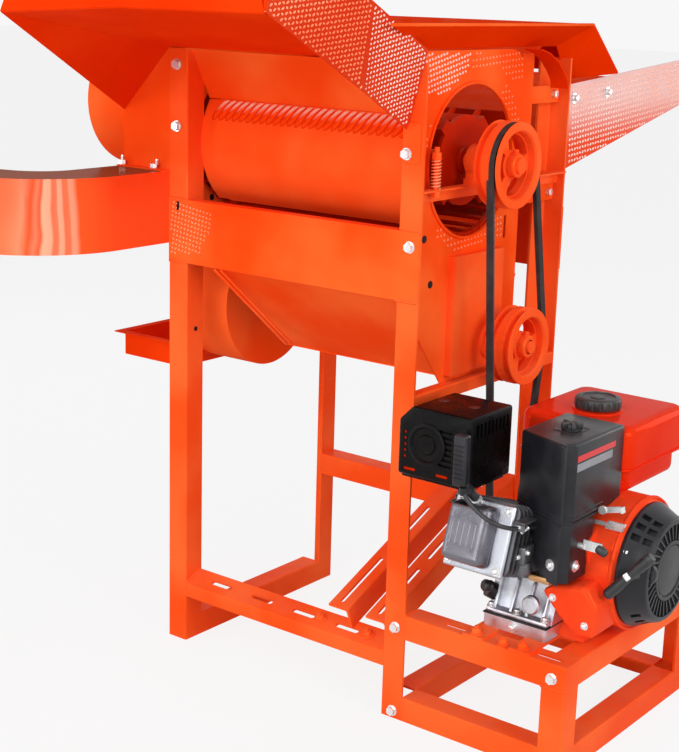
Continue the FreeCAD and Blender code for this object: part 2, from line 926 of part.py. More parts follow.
def make_bearing_channel():
    x0 = plate_face
    x1 = x0 + channel_height
    y0 = channel_front
    y1 = y0 + channel_width
    body = box(x0, x1, y0, y1, channel_low, channel_top)
    inside = box(x0 - overrun, x1 - sheet, y0 + sheet, y1 - sheet, channel_low - overrun,
                 channel_top - sheet)
    bore = rod_x(x0, channel_height + overrun, fan_from_front, fan_height,
                 fan_shaft_radius + sheet)
    nodes["bearing_channel"] = body.cut(inside).cut(bore)


def make_bearing_bar():
    y0 = iron_wall
    y1 = bay_depth - iron_wall
    x0 = bar_x
    top = bearing_bar_top
    bar = angle_iron(V(x0, y0, top), V(0, y1 - y0, 0), AXIS_X, -AXIS_Z, bearing_bar_width,
                     small_wall)
    hole = rod_z(x0 + adjuster_on_bar, adjuster_from_front, top - iron, iron * 2,
                 adjuster_radius + bolt_hole_gap)
    nodes["bearing_bar"] = bar.cut(hole)


def flange_bearing(x0, y, z, bore_radius):
    ring = rod_x(x0, bearing_wall, y, z, bearing_radius * bearing_ring_share)
    plate = rod_x(x0, bearing_wall * half_share, y, z, bearing_radius)
    ears = []
    for side in (-1, 1):
        ear_z = z + side * bearing_radius * bearing_ear_share - bearing_radius * half_share
        ears.append(Part.makeBox(bearing_wall * half_share, bearing_radius, bearing_radius,
                                 V(x0, y - bearing_radius * half_share, ear_z)))
    bore = rod_x(x0 - overrun, bearing_wall + 2 * overrun, y, z, bore_radius)
    return fuse([ring, plate] + ears).cut(bore)


def make_bearings():
    x0 = bar_x + sheet
    length = bearing_bar_width - 2 * sheet
    y = drum_from_front
    z = drum_height
    cheek = box(x0, x0 + length, y - block_radius, y + block_radius, bearing_bar_top,
                bearing_bar_top + nut_height)
    barrel = rod_x(x0, length, y, z, block_radius)
    web_half = block_radius * block_web_share
    web = box(x0, x0 + length, y - web_half, y + web_half, bearing_bar_top, z)
    bore = rod_x(x0 - overrun, length + 2 * overrun, y, z, drum_shaft_radius + running_gap)
    block = fuse([cheek, barrel, web]).cut(bore)
    far = flange_bearing(round_end_x - bearing_wall, y, z, drum_shaft_radius + running_gap)
    fan = flange_bearing(plate_face + channel_height, fan_from_front, fan_height,
                         fan_shaft_radius + running_gap)
    nodes["shaft_bearings"] = Part.makeCompound([block, far, fan])


def make_adjuster():
    x = bar_x + adjuster_on_bar
    y = adjuster_from_front
    under = bearing_bar_top - small_wall
    head = hexagon(V(x, y, under - nut_height), AXIS_Z, nut_width, nut_height)
    shank = rod_z(x, y, under, adjuster_top - under, adjuster_radius)
    nut_low = adjuster_top - 2 * nut_height
    nut = hexagon(V(x, y, nut_low), AXIS_Z, nut_width, nut_height)
    washer = rod_z(x, y, nut_low - washer_wall, washer_wall, nut_width * washer_share)
    nodes["adjuster_bolt"] = fuse([head, shank, nut, washer])
    seat = bearing_bar_top + spring_seat_gap + spring_wire
    stop = nut_low - washer_wall - spring_seat_gap - spring_wire
    nodes["adjuster_spring"] = coil(x, y, seat, stop)


def coil(x, y, z0, z1):
    """One unbroken coil spring, built as biarcs of a quarter turn."""
    pitch = (z1 - z0) / spring_turns

    def at(turns):
        angle = turns * 2 * math.pi
        return V(x + spring_radius * math.cos(angle), y + spring_radius * math.sin(angle),
                 z0 + pitch * turns)

    def heading(turns):
        angle = turns * 2 * math.pi
        speed = 2 * math.pi * spring_radius
        return V(-speed * math.sin(angle), speed * math.cos(angle), pitch).normalize()
    edges = []
    count = int(spring_turns / quarter_share)
    for k in range(count):
        here = k * quarter_share
        after = here + quarter_share
        edges += biarc(at(here), heading(here), at(after), heading(after))
    path = Part.Wire(edges)
    ring = Part.Wire(Part.makeCircle(spring_wire, at(0), heading(0)))
    tube = path.makePipeShell([ring], True, False)
    print("adjuster spring: least gap between its turns", round(pitch - 2 * spring_wire, 2))
    return tube


def biarc(p0, t0, p1, t1):
    """Two tangent arcs that join p0 and p1 with the headings t0 and t1."""
    gap = p1 - p0
    both = t0 + t1
    a = 2 * (1 - t0.dot(t1))
    b = 2 * gap.dot(both)
    c = -gap.dot(gap)
    d = (-b + math.sqrt(b * b - 4 * a * c)) / (2 * a)
    joint = (p0 + t0 * d + p1 - t1 * d) * half_share
    return [arc_from(p0, t0, joint), arc_from(joint, (p1 - t1 * d - p0 - t0 * d).normalize(), p1)]


def arc_from(start, heading, end):
    chord = end - start
    side = chord - heading * chord.dot(heading)
    side.normalize()
    radius = chord.dot(chord) / (2 * chord.dot(side))
    centre = start + side * radius
    middle = centre + ((start - centre) + (end - centre)).normalize() * abs(radius)
    return Part.Arc(start, middle, end).toShape()


# Trays, wings, rims and hood

def make_front_tray():
    back_left = V(outer_left, 0, tray_back)
    back_right = V(outer_right - overrun, 0, tray_back)
    lip_right = V(outer_right - sheet, -tray_reach, tray_lip)
    crease = V(tray_crease, -tray_reach, tray_lip)
    corner = V(outer_left + tray_corner_in, -tray_reach, tray_corner)
    spill = V(straw_end, 0, spill_low)
    lean = V(0, -tray_lip_lean, tray_lip_height)
    tip = (crease - corner) * lip_corner_share
    panels = [
        [back_left, back_right, lip_right, crease],
        [corner, crease, back_left],
        [corner, back_left, spill],
        [crease, lip_right, lip_right + lean, crease + lean],
        [corner, crease, crease + lean, corner + lean + tip],
    ]
    tray = folded_sheet(panels, V(0, fold_shift, -fold_shift))
    tray = tray.common(box(-bay_width, 2 * bay_width, -bay_width, -touch_gap, 0, 2 * post_height))
    nodes["front_tray"] = tray


def make_wings():
    low = V(outer_right - wing_low_in, -sheet, wing_low)
    high = V(outer_right, -sheet, rim_low)
    front = V(outer_right, -tray_reach, tray_lip)
    normal = (high - low).cross(front - low)

    def on_plane(y, z):
        x = low.x - (normal.y * (y - low.y) + normal.z * (z - low.z)) / normal.x
        return V(x, y, z)
    points = [low, high, on_plane(-wing_top_reach, wing_top_height),
              on_plane(-tray_reach, wing_front_height), front]
    panel = prism(points, AXIS_X * sheet)
    tab = box(outer_right - wing_low_in - overrun, outer_right - wing_low_in + wing_tab_width,
              -sheet, 0, wing_low + 2 * overrun - wing_tab_length,
              wing_low + 2 * overrun)
    nodes["wing_front_right"] = fuse([panel, tab])
    backs = []
    for x in (outer_left, wing_x):
        backs.append(prism([V(x, bay_depth, back_wing_low), V(x, bay_depth, back_wing_high),
                            V(x, back_end, back_wing_end_high),
                            V(x, back_end, back_wing_end_low)], AXIS_X * sheet))
    nodes["back_wings"] = Part.makeCompound(backs)


def make_back_tray():
    x0 = outer_left + sheet
    x1 = wing_x
    start = bay_depth + touch_gap
    slope = (back_floor_end - back_floor_start) / back_reach
    down = V(0, 0, -sheet)

    def height(y):
        return back_floor_start + slope * (y - bay_depth)
    main = prism([V(x0, start, height(start)), V(x1, start, height(start)),
                  V(x1, back_end, back_floor_end), V(x0, back_end, back_floor_end)], down)
    tongue = prism([V(touch_gap, back_tongue_front, height(back_tongue_front)),
                    V(bay_width - touch_gap, back_tongue_front, height(back_tongue_front)),
                    V(bay_width - touch_gap, start, height(start)),
                    V(touch_gap, start, height(start))], down)
    nodes["back_tray"] = fuse([main, tongue])


def make_hopper():
    rims = []
    for side, x in ((1, plate_face), (-1, left_face)):
        out = x + side * rim_out
        quad = [V(x, rim_front_low, rim_low), V(x, rim_back_low, rim_low),
                V(out, ridge_from_front, rim_top), V(out, rim_front_top, rim_top)]
        rims.append(prism(quad, V(0, 0, sheet)))
    nodes["hopper_rims"] = Part.makeCompound([rim.cut(nodes["wing_front_right"]) for rim in rims])
    left = left_face - rim_out
    right = plate_face + rim_out
    panels = [[V(left, ridge_from_front, rim_top), V(right, ridge_from_front, rim_top),
               V(right, eave_from_front, eave_height), V(left, eave_from_front, eave_height)]]
    shift = V(0, fold_shift, fold_shift)
    hood = folded_sheet(panels, shift)
    sides = []
    for side, x in ((1, plate_face), (-1, left_face)):
        out = x + side * rim_out
        top = V(out, ridge_from_front, rim_top)
        eave = V(out, eave_from_front, eave_height)
        low = V(x, hood_side_back, hood_side_low)
        inner = V(x, rim_back_low, rim_low)
        for points in ([top, eave, low], [top, low, inner]):
            sides.append(prism(points, shift))
    inner_left = left_face + sheet
    brow = prism([V(inner_left, ridge_from_front, rim_top),
                  V(plate_x, ridge_from_front, rim_top),
                  V(plate_x, straw_depth, apron_top), V(inner_left, straw_depth, apron_top)],
                 shift)
    nodes["rear_hood"] = fuse([hood] + sides + [brow]).cut(nodes["posts"])


# Rotors

def pulley(radius, bore, depth=rim_wall):
    x0 = pulley_start
    x1 = x0 + pulley_width
    inner = radius - depth
    half_top = groove_width * half_share
    slope = groove_depth * math.tan(math.radians(groove_half_angle))
    half_low = half_top - slope
    bottom = radius - groove_depth
    profile = [(x0, inner), (x0, radius)]
    for share in (groove_share, 1 - groove_share):
        centre = x0 + pulley_width * share
        profile += [(centre - half_top, radius), (centre - half_low, bottom),
                    (centre + half_low, bottom), (centre + half_top, radius)]
    profile += [(x1, radius), (x1, inner)]
    points = [V(x, 0, r) for x, r in profile]
    rim = polygon(points).revolve(V(0, 0, 0), AXIS_X, full_turn)
    parts = [rim]
    middle = (x0 + x1) * half_share
    if inner > hub_radius + sheet:
        parts.append(rod_x(x0, pulley_width, 0, 0, hub_radius))
        for k in range(spoke_count):
            spoke = box(middle - spoke_wall * half_share, middle + spoke_wall * half_share,
                        -spoke_width * half_share, spoke_width * half_share, 0, inner + sheet)
            spoke.rotate(V(0, 0, 0), AXIS_X, k * full_turn / spoke_count)
            parts.append(spoke)
    hole = rod_x(x0 - overrun, pulley_width + 2 * overrun, 0, 0, bore)
    return fuse(parts).cut(hole)


def make_drum():
    y = drum_from_front
    z = drum_height
    start = round_end_x - bearing_wall - sheet
    length = pulley_start + pulley_width + overrun - start
    nodes["drum_shaft"] = rod_x(start, length, y, z, drum_shaft_radius)
    bore = drum_shaft_radius + shaft_fit
    discs = []
    cage = []
    for x in (drum_start, (drum_start + drum_end) * half_share, drum_end - disc_wall):
        discs.append(rod_x(x, disc_wall, y, z, disc_radius))
        discs.append(rod_x(x - disc_wall, 3 * disc_wall, y, z, hub_radius + sheet))
    pegs = []
    for k in range(bar_count):
        turn = k * full_turn / bar_count + full_turn / 8
        bar = box(drum_start, drum_end, y - bar_width * half_share, y + bar_width * half_share,
                  z + disc_radius - sheet, z + disc_radius + bar_height)
        bar.rotate(V(0, y, z), AXIS_X, turn)
        cage.append(bar)
        lead = peg_pitch * half_share
        if k % 2:
            lead = lead * half_share
        x = drum_start + lead + disc_wall
        while x < drum_end - disc_wall:
            base = z + disc_radius + bar_height + touch_gap * half_share
            peg = rod_z(x, y, base, peg_tip_radius - (base - z), peg_radius)
            peg.rotate(V(0, y, z), AXIS_X, turn)
            pegs.append(peg)
            x += peg_pitch
    hole = rod_x(drum_start - iron, drum_end + 2 * iron, y, z, bore)
    nodes["drum_rotor"] = fuse(discs + cage).cut(hole)
    nodes["drum_pegs"] = Part.makeCompound(pegs)
    paddles = [rod_x(outer_left - paddle_width - sheet, paddle_width, y, z, hub_radius)]
    for k in range(bar_count):
        blade = box(outer_left - paddle_width - sheet, outer_left - sheet, y - sheet, y + sheet,
                    z, z + paddle_radius)
        blade.rotate(V(0, y, z), AXIS_X, k * full_turn / bar_count)
        paddles.append(blade)
    reach = rod_x(outer_left - paddle_width - iron, paddle_width + 2 * iron, y, z, bore)
    nodes["straw_paddles"] = fuse(paddles).cut(reach)
    wheel = pulley(drum_pulley_radius, bore)
    wheel.translate(V(0, y, z))
    nodes["drum_pulley"] = wheel


def make_fan():
    y = fan_from_front
    z = fan_height
    start = -fan_case_length - overrun
    length = pulley_start + pulley_width + overrun - start
    nodes["fan_shaft"] = rod_x(start, length, y, z, fan_shaft_radius)
    bore = fan_shaft_radius + shaft_fit
    x0 = -fan_case_length + 3 * sheet
    x1 = -3 * sheet
    parts = [rod_x(x0, x1 - x0, y, z, fan_hub_radius),
             rod_x((x0 + x1) * half_share, sheet, y, z, fan_blade_tip * fan_disc_share)]
    for k in range(fan_blade_count):
        blade = box(x0, x1, y - sheet * half_share, y + sheet * half_share,
                    z + fan_blade_root * half_share, z + fan_blade_tip)
        blade.rotate(V(0, y, z), AXIS_X, k * full_turn / fan_blade_count)
        parts.append(blade)
    nodes["fan_wheel"] = fuse(parts).cut(rod_x(x0 - overrun, x1 - x0 + 2 * overrun, y, z, bore))
    wheel = pulley(fan_pulley_radius, bore)
    wheel.translate(V(0, y, z))
    nodes["fan_pulley"] = wheel


def tangent_points(c0, r0, c1, r1):
    """The two points of the outer tangent on the left of the way from c0 to c1, in Y and Z."""
    dy = c1[0] - c0[0]
    dz = c1[1] - c0[1]
    distance = math.hypot(dy, dz)
    base = math.atan2(dz, dy)
    angle = base + math.acos((r0 - r1) / distance)
    first = (c0[0] + r0 * math.cos(angle), c0[1] + r0 * math.sin(angle))
    second = (c1[0] + r1 * math.cos(angle), c1[1] + r1 * math.sin(angle))
    return first, second, angle


def make_belt():
    """One V belt round the three pulleys, in the outer groove of each."""
    wheels = [((drum_from_front, drum_height), drum_pulley_radius),
              ((crank_from_front, crank_height), engine_pulley_radius),
              ((fan_from_front, fan_height), fan_pulley_radius)]
    wheels.reverse()
    top = [radius - belt_drop for centre, radius in wheels]
    count = len(wheels)
    half_top = belt_width * half_share
    slope = belt_height * math.tan(math.radians(groove_half_angle))
    half_low = half_top - slope
    pieces = []
    spans = []
    for k in range(count):
        after = (k + 1) % count
        spans.append(tangent_points(wheels[k][0], top[k], wheels[after][0], top[after]))
    for k in range(count):
        first, second, angle = spans[k]
        out = V(0, math.cos(angle), math.sin(angle))
        start = V(belt_x, first[0], first[1])
        end = V(belt_x, second[0], second[1])
        section = [start + AXIS_X * half_top, start - AXIS_X * half_top,
                   start - AXIS_X * half_low - out * belt_height,
                   start + AXIS_X * half_low - out * belt_height]
        pieces.append(prism(section, end - start))
        after = (k + 1) % count
        turn = math.degrees(spans[after][2] - angle) % full_turn
        shift = end - start
        centre = V(belt_x, wheels[after][0][0], wheels[after][0][1])
        face = polygon([point + shift for point in section])
        if turn > full_turn * half_share:
            turn -= full_turn
        pieces.append(face.revolve(centre, AXIS_X, turn))
    nodes["drive_belt"] = fuse(pieces)


# Engine

def make_crankcase():
    y = crank_from_front
    z = crank_height
    x0 = case_start
    x1 = x0 + case_length
    base = rounded_box(base_start, base_start + base_length, base_front, base_front + base_depth,
                       cross_rail_top, cross_rail_top + base_height, overrun, [AXIS_Z])
    waist = prism([V(x0, base_front + overrun * 3, cross_rail_top + base_height),
                   V(x0, base_front + base_depth - overrun * 2, cross_rail_top + base_height),
                   V(x0, case_back, z), V(x0, case_back - iron * half_share, z + case_top_rise),
                   V(x0, case_front + iron, z + case_top_rise), V(x0, case_front, z - overrun)],
                  AXIS_X * case_length)
    cover = rod_x(x0 - side_cover_wall, side_cover_wall, y, z, case_radius)
    boss = rod_x(x0 - 2 * side_cover_wall, 2 * side_cover_wall, y, z, hub_radius + overrun)
    bore = rod_x(x0 - 3 * side_cover_wall, case_length + 3 * side_cover_wall, y, z,
                 crank_radius + running_gap)
    plug = plug_axis()
    socket = Part.makeCylinder(plug_radius * half_share + bolt_hole_gap, plug_length, plug[0],
                               -plug[1])
    nodes["crankcase"] = fuse([base, waist, cover, boss]).cut(bore).cut(socket)
    return x1


def plug_axis():
    """Mouth and outward direction of the oil filler on the near corner of the case."""
    mouth = V(case_start + overrun, base_front + plug_radius * 2,
              cross_rail_top + base_height + plug_radius * 2)
    tilt = math.radians(plug_tilt)
    flat = math.cos(tilt) * math.sqrt(half_share)
    return mouth, V(-flat, -flat, math.sin(tilt))


def tilt_cylinder(shape):
    """Turn a piece made along -Y at the crank so that it lies along the cylinder."""
    shape.rotate(V(0, crank_from_front, crank_height), AXIS_X, -cylinder_tilt)
    return shape


def make_cylinder():
    y = crank_from_front
    z = crank_height
    middle = cylinder_middle
    near = y - cylinder_start - iron
    far = near - cylinder_length
    core = Part.makeCylinder(cylinder_core, cylinder_length, V(middle, near, z), -AXIS_Y)
    parts = [core]
    half_width = fin_width * half_share
    half_depth = fin_depth * half_share
    pitch = (cylinder_length - fin_wall) / (fin_count - 1)
    for k in range(fin_count):
        fin_y = near - k * pitch
        fin = rounded_box(middle - half_width, middle + half_width, fin_y - fin_wall, fin_y,
                          z - half_depth, z + half_depth, fin_edge, [AXIS_Y])
        parts.append(fin)
    block = tilt_cylinder(fuse(parts))
    nodes["cylinder"] = block.cut(nodes["crankcase"])
    flat = far - fin_wall * half_share
    half_width = cover_width * half_share
    half_depth = cover_depth * half_share
    flange = rounded_box(middle - half_width, middle + half_width, flat - overrun, flat,
                         z - half_depth, z + half_depth, cover_round, [AXIS_Y])
    lid = rounded_box(middle - half_width + overrun, middle + half_width - overrun,
                      flat - cover_height, flat, z - half_depth + overrun,
                      z + half_depth - overrun, cover_round, [AXIS_Y])
    outer = [e for e in lid.Edges if e.CenterOfMass.y < flat - cover_height + touch_gap]
    lid = lid.makeFillet(cover_round * half_share, outer)
    nodes["valve_cover"] = tilt_cylinder(fuse([flange, lid]))


def make_engine_shaft():
    x0 = pulley_start - overrun
    x1 = blower_start - overrun
    y = crank_from_front
    z = crank_height
    shaft = rod_x(x0, x1 - x0, y, z, crank_radius)
    nodes["engine_shaft"] = shaft
    wheel = pulley(engine_pulley_radius, crank_radius + shaft_fit,
                   engine_pulley_radius - crank_radius)
    wheel.translate(V(0, y, z))
    nodes["engine_pulley"] = wheel


def make_blower():
    y = crank_from_front
    z = crank_height + blower_lift
    x0 = blower_start
    x1 = x0 + blower_wall
    drum = rod_x(x0, blower_wall, y, z, blower_radius)
    drum = drum.cut(box(x0, x1, 0, bay_depth, 0, cross_rail_top + touch_gap))
    low_share, out_share, top_share = blower_neck_shares
    neck = prism([V(x0, y - blower_radius * low_share, z),
                  V(x0, y - blower_radius * out_share, z + blower_neck_rise),
                  V(x0, y - blower_radius * top_share, z + blower_radius * low_share)],
                 AXIS_X * blower_wall * half_share)
    foot_share, drop_share = blower_foot_shares
    foot = prism([V(x0, y - blower_radius * foot_share, z - blower_radius * drop_share),
                  V(x0, base_front + iron, cross_rail_top + touch_gap),
                  V(x0, y, cross_rail_top + touch_gap)], AXIS_X * blower_wall * half_share)
    shell = fuse([drum, neck, foot])
    back = [e for e in shell.Edges if abs(e.CenterOfMass.x - x1) < touch_gap and e.Length > iron]
    shell = shell.makeFillet(overrun * 2, back)
    nodes["blower_housing"] = shell
    face = Part.makeCone(recoil_radius, recoil_face_radius, recoil_wall, V(x1, y, z), AXIS_X)
    front = [e for e in face.Edges if abs(e.CenterOfMass.x - recoil_face) < touch_gap]
    start, direction = grip_line()
    boss_length = grip_reach - rope_boss_start - grip_width * (1 + half_share) - touch_gap
    boss = Part.makeCylinder(rope_boss_radius, boss_length,
                             start - direction * (grip_reach - rope_boss_start), direction)
    nodes["recoil_cover"] = fuse([face.makeFillet(overrun * 2, front), boss])


def grip_line():
    """Resting place and pull direction of the starter grip."""
    tilt = math.radians(grip_pull_tilt)
    direction = V(0, -math.cos(tilt), math.sin(tilt))
    centre = V(recoil_start + grip_out, crank_from_front, crank_height + blower_lift)
    return centre + direction * grip_reach, direction


def make_grip():
    start, direction = grip_line()
    reach = grip_length * half_share
    thick = grip_width * half_share
    bar = box(-reach, reach, -thick, thick, -thick, thick)
    bar = bar.makeFillet(grip_round, bar.Edges)
    stem = Part.makeCylinder(thick * half_share, thick + grip_width, V(0, 0, 0), AXIS_Y)
    grip = fuse([bar, stem])
    grip.rotate(V(0, 0, 0), AXIS_Y, -grip_roll)
    grip.rotate(V(0, 0, 0), AXIS_X, -grip_pull_tilt)
    grip.translate(start)
    nodes["starter_grip"] = grip


def make_muffler():
    x0 = muffler_start
    x1 = x0 + muffler_length
    y0 = muffler_front
    y1 = y0 + muffler_depth
    z0 = muffler_low
    z1 = z0 + muffler_height
    c = muffler_chamfer
    outline = [V(x0, y0, z0), V(x1, y0, z0), V(x1, y0, z1), V(x0 + c, y0, z1), V(x0, y0, z1 - c)]
    body = prism(outline, AXIS_Y * muffler_depth)
    edges = [e for e in body.Edges if abs(e.tangentAt(e.FirstParameter).y) > half_share]
    body = body.makeFillet(overrun, edges)
    stub_y = (y0 + y1) * half_share
    stub = rod_z(x1 - iron, stub_y, z0 - iron, iron + touch_gap, stub_radius)
    reach = box(x1 - stub_reach, cylinder_middle + overrun, stub_y - stub_half_width,
                stub_y + stub_half_width, z0 - iron, z0 - stub_floor)
    nodes["muffler"] = fuse([body, stub, reach]).cut(nodes["cylinder"])


def make_air_cleaner():
    x0 = air_start
    x1 = x0 + air_length
    y0 = air_front
    y1 = y0 + air_depth
    z0 = air_low
    z1 = z0 + air_height
    upper = z1 - air_waist
    outline = [V(x0, y0 + air_slant, upper), V(x1 - 2 * air_round, y0, upper),
               V(x1, y0 + air_round, upper), V(x1, y1, upper), V(x0, y1, upper)]
    body = prism(outline, V(0, 0, air_waist))
    neck = [V(x0, y0 + air_slant, z0), V(x1 - 2 * air_round, y0, z0), V(x1, y0 + air_round, z0),
            V(x1, y0 + air_neck_depth, z0), V(x0, y0 + air_neck_depth, z0)]
    body = body.fuse(prism(neck, V(0, 0, upper - z0))).removeSplitter()
    edges = [e for e in body.Edges if abs(e.tangentAt(e.FirstParameter).z) > half_share]
    body = body.makeFillet(air_round * half_share, edges)
    top = [e for e in body.Edges if e.CenterOfMass.z > z1 - touch_gap]
    body = body.makeFillet(air_top_round, top)
    cx = (x0 + x1) * half_share
    cy = (y0 + y1) * half_share
    stem = rod_z(cx, cy, z1 - overrun, overrun + knob_height, knob_radius * half_share)
    bar = box(cx - knob_radius, cx + knob_radius, cy - sheet, cy + sheet, z1 + sheet,
              z1 + knob_height)
    knob = fuse([stem, bar])
    bracket = box(x1 - overrun, x1 + bracket_length, throttle_back, throttle_back + bracket_wall,
                  bracket_low, bracket_high)
    cleaner = fuse([body, knob, bracket])
    for neighbour in ("cylinder", "blower_housing", "crankcase"):
        cleaner = cleaner.cut(nodes[neighbour])
    nodes["air_cleaner"] = cleaner


def make_tank():
    x0 = tank_start
    x1 = x0 + tank_length
    y0 = tank_front
    y1 = y0 + tank_depth
    z0 = tank_low
    z1 = z0 + tank_height
    split = z0 + tank_height * tank_split_share
    lower = rounded_box(x0 + tank_waist, x1 - tank_waist, y0 + tank_waist, y1 - tank_waist, z0,
                        split + touch_gap, tank_round, [AXIS_Z])
    upper = rounded_box(x0, x1, y0, y1, split, z1, tank_round, [AXIS_Z])
    rim = [e for e in upper.Edges if e.CenterOfMass.z > z1 - touch_gap]
    upper = upper.makeFillet(overrun * 3, rim)
    foot = box(case_start + iron, case_start + case_length, crank_from_front + iron,
               crank_from_front + 2 * iron, crank_height + case_top_rise, z0 + touch_gap)
    neck_x = x0 + cap_along
    neck_y = y0 + cap_back
    neck = rod_z(neck_x, neck_y, z1 - touch_gap, overrun, tank_neck_radius)
    tank = fuse([lower, upper, foot, neck])
    nodes["fuel_tank"] = tank.cut(nodes["air_cleaner"]).cut(nodes["blower_housing"])
    cap = rod_z(neck_x, neck_y, z1 + overrun, cap_height - overrun, cap_radius)
    edge = [e for e in cap.Edges if abs(e.CenterOfMass.z - z1 - cap_height) < touch_gap]
    nodes["fuel_cap"] = cap.makeFillet(cap_round, edge)


def make_levers():
    """Throttle arm on its bracket beside the air cleaner, and the choke arm below it."""
    side = air_start + air_length
    half = lever_width * half_share
    x = side + throttle_out
    y = throttle_back - touch_gap
    z = throttle_height
    arm = box(x, x + throttle_length, y - lever_wall, y, z - half, z + half)
    boss = Part.makeCylinder(half * lever_boss_share, lever_wall * 2, V(x, y, z), -AXIS_Y)
    tip = box(x + throttle_length - lever_wall, x + throttle_length, y - lever_tip, y,
              z - half, z + half)
    shape = fuse([arm, boss, tip])
    shape.rotate(V(x, y, z), AXIS_Y, -throttle_rise)
    nodes["throttle_lever"] = shape
    start = side + touch_gap
    y = choke_back
    z = choke_height
    stem = rod_x(start, choke_stem, y, z, half)
    blade = box(start + choke_stem - lever_wall, start + choke_length, y - lever_wall * half_share,
                y + lever_wall * half_share, z - half, z + lever_width * choke_blade_share)
    nodes["choke_lever"] = fuse([stem, blade])


def make_small_engine_parts():
    mouth, out = plug_axis()
    stem = Part.makeCylinder(plug_radius * half_share, plug_length * half_share, mouth, -out)
    head = Part.makeCylinder(plug_radius, plug_length * plug_head_share, mouth, out)
    nodes["oil_plug"] = fuse([stem, head]).cut(nodes["crankcase"])


def make_spark_cap():
    x0 = spark_cap_along - spark_cap_width * half_share
    y0 = spark_cap_front
    z0 = spark_cap_low
    block = rounded_box(x0, x0 + spark_cap_width, y0, y0 + spark_cap_wall, z0,
                        z0 + spark_cap_length, overrun, [AXIS_Z])
    start = V(spark_cap_along, y0 + boot_back, z0 + boot_rise)
    end = V(spark_cap_along, boot_end_from_front, boot_end_height)
    boot = Part.makeCylinder(boot_radius, (end - start).Length, start, end - start)
    cap = fuse([block, boot])
    for neighbour in ("cylinder", "valve_cover", "muffler"):
        cap = cap.cut(nodes[neighbour])
    nodes["spark_cap"] = cap


def rounded_path(points, radius):
    """Straight runs through the points with a tangent arc at each corner."""
    edges = []
    here = points[0]
    for k in range(1, len(points) - 1):
        before = (points[k - 1] - points[k]).normalize()
        after = (points[k + 1] - points[k]).normalize()
        half_turn = math.acos(max(-1, min(1, before.dot(after)))) * half_share
        cut = radius / math.tan(half_turn)
        first = points[k] + before * cut
        last = points[k] + after * cut
        centre = points[k] + (before + after).normalize() * (radius / math.sin(half_turn))
        middle = centre + (points[k] - centre).normalize() * radius
        edges.append(Part.makeLine(here, first))
        edges.append(Part.Arc(first, middle, last).toShape())
        here = last
    edges.append(Part.makeLine(here, points[-1]))
    return Part.Wire(edges)


def make_lead():
    start = V(lead_along, lead_front, spark_cap_low - touch_gap)
    points = [start, V(lead_along, start.y, lead_drop_height),
              V(lead_side, start.y, lead_side_height),
              V(lead_side, air_front - touch_gap, lead_end_height)]
    path = rounded_path(points, lead_bend)
    ring = Part.Wire(Part.makeCircle(lead_radius, start, AXIS_Z))
    nodes["ignition_lead"] = path.makePipeShell([ring], True, False)


# Fasteners

def bolt(place, out, head=bolt_head, washer=bolt_washer_radius):
    """A hexagon head with its washer, seated on a face and standing out along one direction."""
    seat = place + out * touch_gap * bolt_clear_share
    ring = Part.makeCylinder(washer, bolt_washer, seat, out)
    cap = hexagon(seat + out * bolt_washer, out, head, bolt_head_height)
    return fuse([ring, cap])


def make_bolts():
    near = -AXIS_Y
    far = AXIS_Y
    bolts = []
    for drop in bolt_drops_left:
        bolts.append(bolt(V(-bolt_inset, 0, post_height - drop), near))
    bolts.append(bolt(V(-bolt_inset, bay_depth, post_height - bolt_drops_left[-1]), far))
    for x in (-bolt_inset, bay_width + bolt_inset):
        for z in (beam_low + bolt_inset, beam_top - bolt_inset):
            bolts.append(bolt(V(x, bay_depth + sheet, z), far))
    bolts.append(bolt(V(bay_width + bolt_inset, -sheet, beam_top - bolt_inset), near))
    for x, z in ((bay_width + bolt_inset, bed_height - bolt_inset),
                 (bay_width + bolt_inset, bolt_foot_height),
                 (bed_end - bolt_inset, bed_height - bolt_inset)):
        bolts.append(bolt(V(x, 0, z), near))
        bolts.append(bolt(V(x, bay_depth, z), far))
    bolts.append(bolt(V(bay_width + wing_bolt_in, -sheet, post_height - wing_bolt_drop), near))
    for x in (cross_rail_near, cross_rail_far):
        for y in (bolt_inset * half_share, bay_depth - bolt_inset * half_share):
            bolts.append(bolt(V(x, y, cross_rail_top), AXIS_Z, bolt_small, bolt_small * half_share))
    for x in (straw_end + overrun, outer_left - bed_slot_length * half_share - overrun):
        bolts.append(bolt(V(x, -chute_stud_in, chute_top + sheet), AXIS_Z, bolt_small,
                          bolt_small * half_share))
    for low in (tab_low, tab_high):
        z = low + tab_height * half_share
        bolts.append(bolt(V(plate_face, bay_depth - tab_bolt_inset, z), AXIS_X, bolt_small,
                          bolt_small * half_share))
    nodes["frame_bolts"] = Part.makeCompound(bolts)


build_order = [
    make_posts, make_floor_rails, make_low_front_rail, make_cross_bars, make_inclined_rails,
    make_bed, make_beams, make_end_plates, make_drum_casing, make_concave, make_straw_casing,
    make_chute, make_lower_body, make_fan_housing, make_grain_tray, make_bearing_channel,
    make_bearing_bar, make_bearings, make_adjuster, make_front_tray, make_wings, make_back_tray,
    make_hopper, make_drum, make_fan, make_belt, make_crankcase, make_cylinder,
    make_engine_shaft, make_blower, make_grip, make_muffler, make_air_cleaner, make_tank,
    make_levers, make_small_engine_parts, make_spark_cap, make_lead, make_bolts,
]
for step in build_order:
    step()

whole = Part.makeCompound(list(nodes.values()))
bounds = whole.optimalBoundingBox(False)
shift = V(-(bounds.XMin + bounds.XMax) * half_share, -(bounds.YMin + bounds.YMax) * half_share,
          -bounds.ZMin)
print("shift to the frame", [round(value, 3) for value in shift])
print("size", round(bounds.XLength, 1), round(bounds.YLength, 1), round(bounds.ZLength, 1))

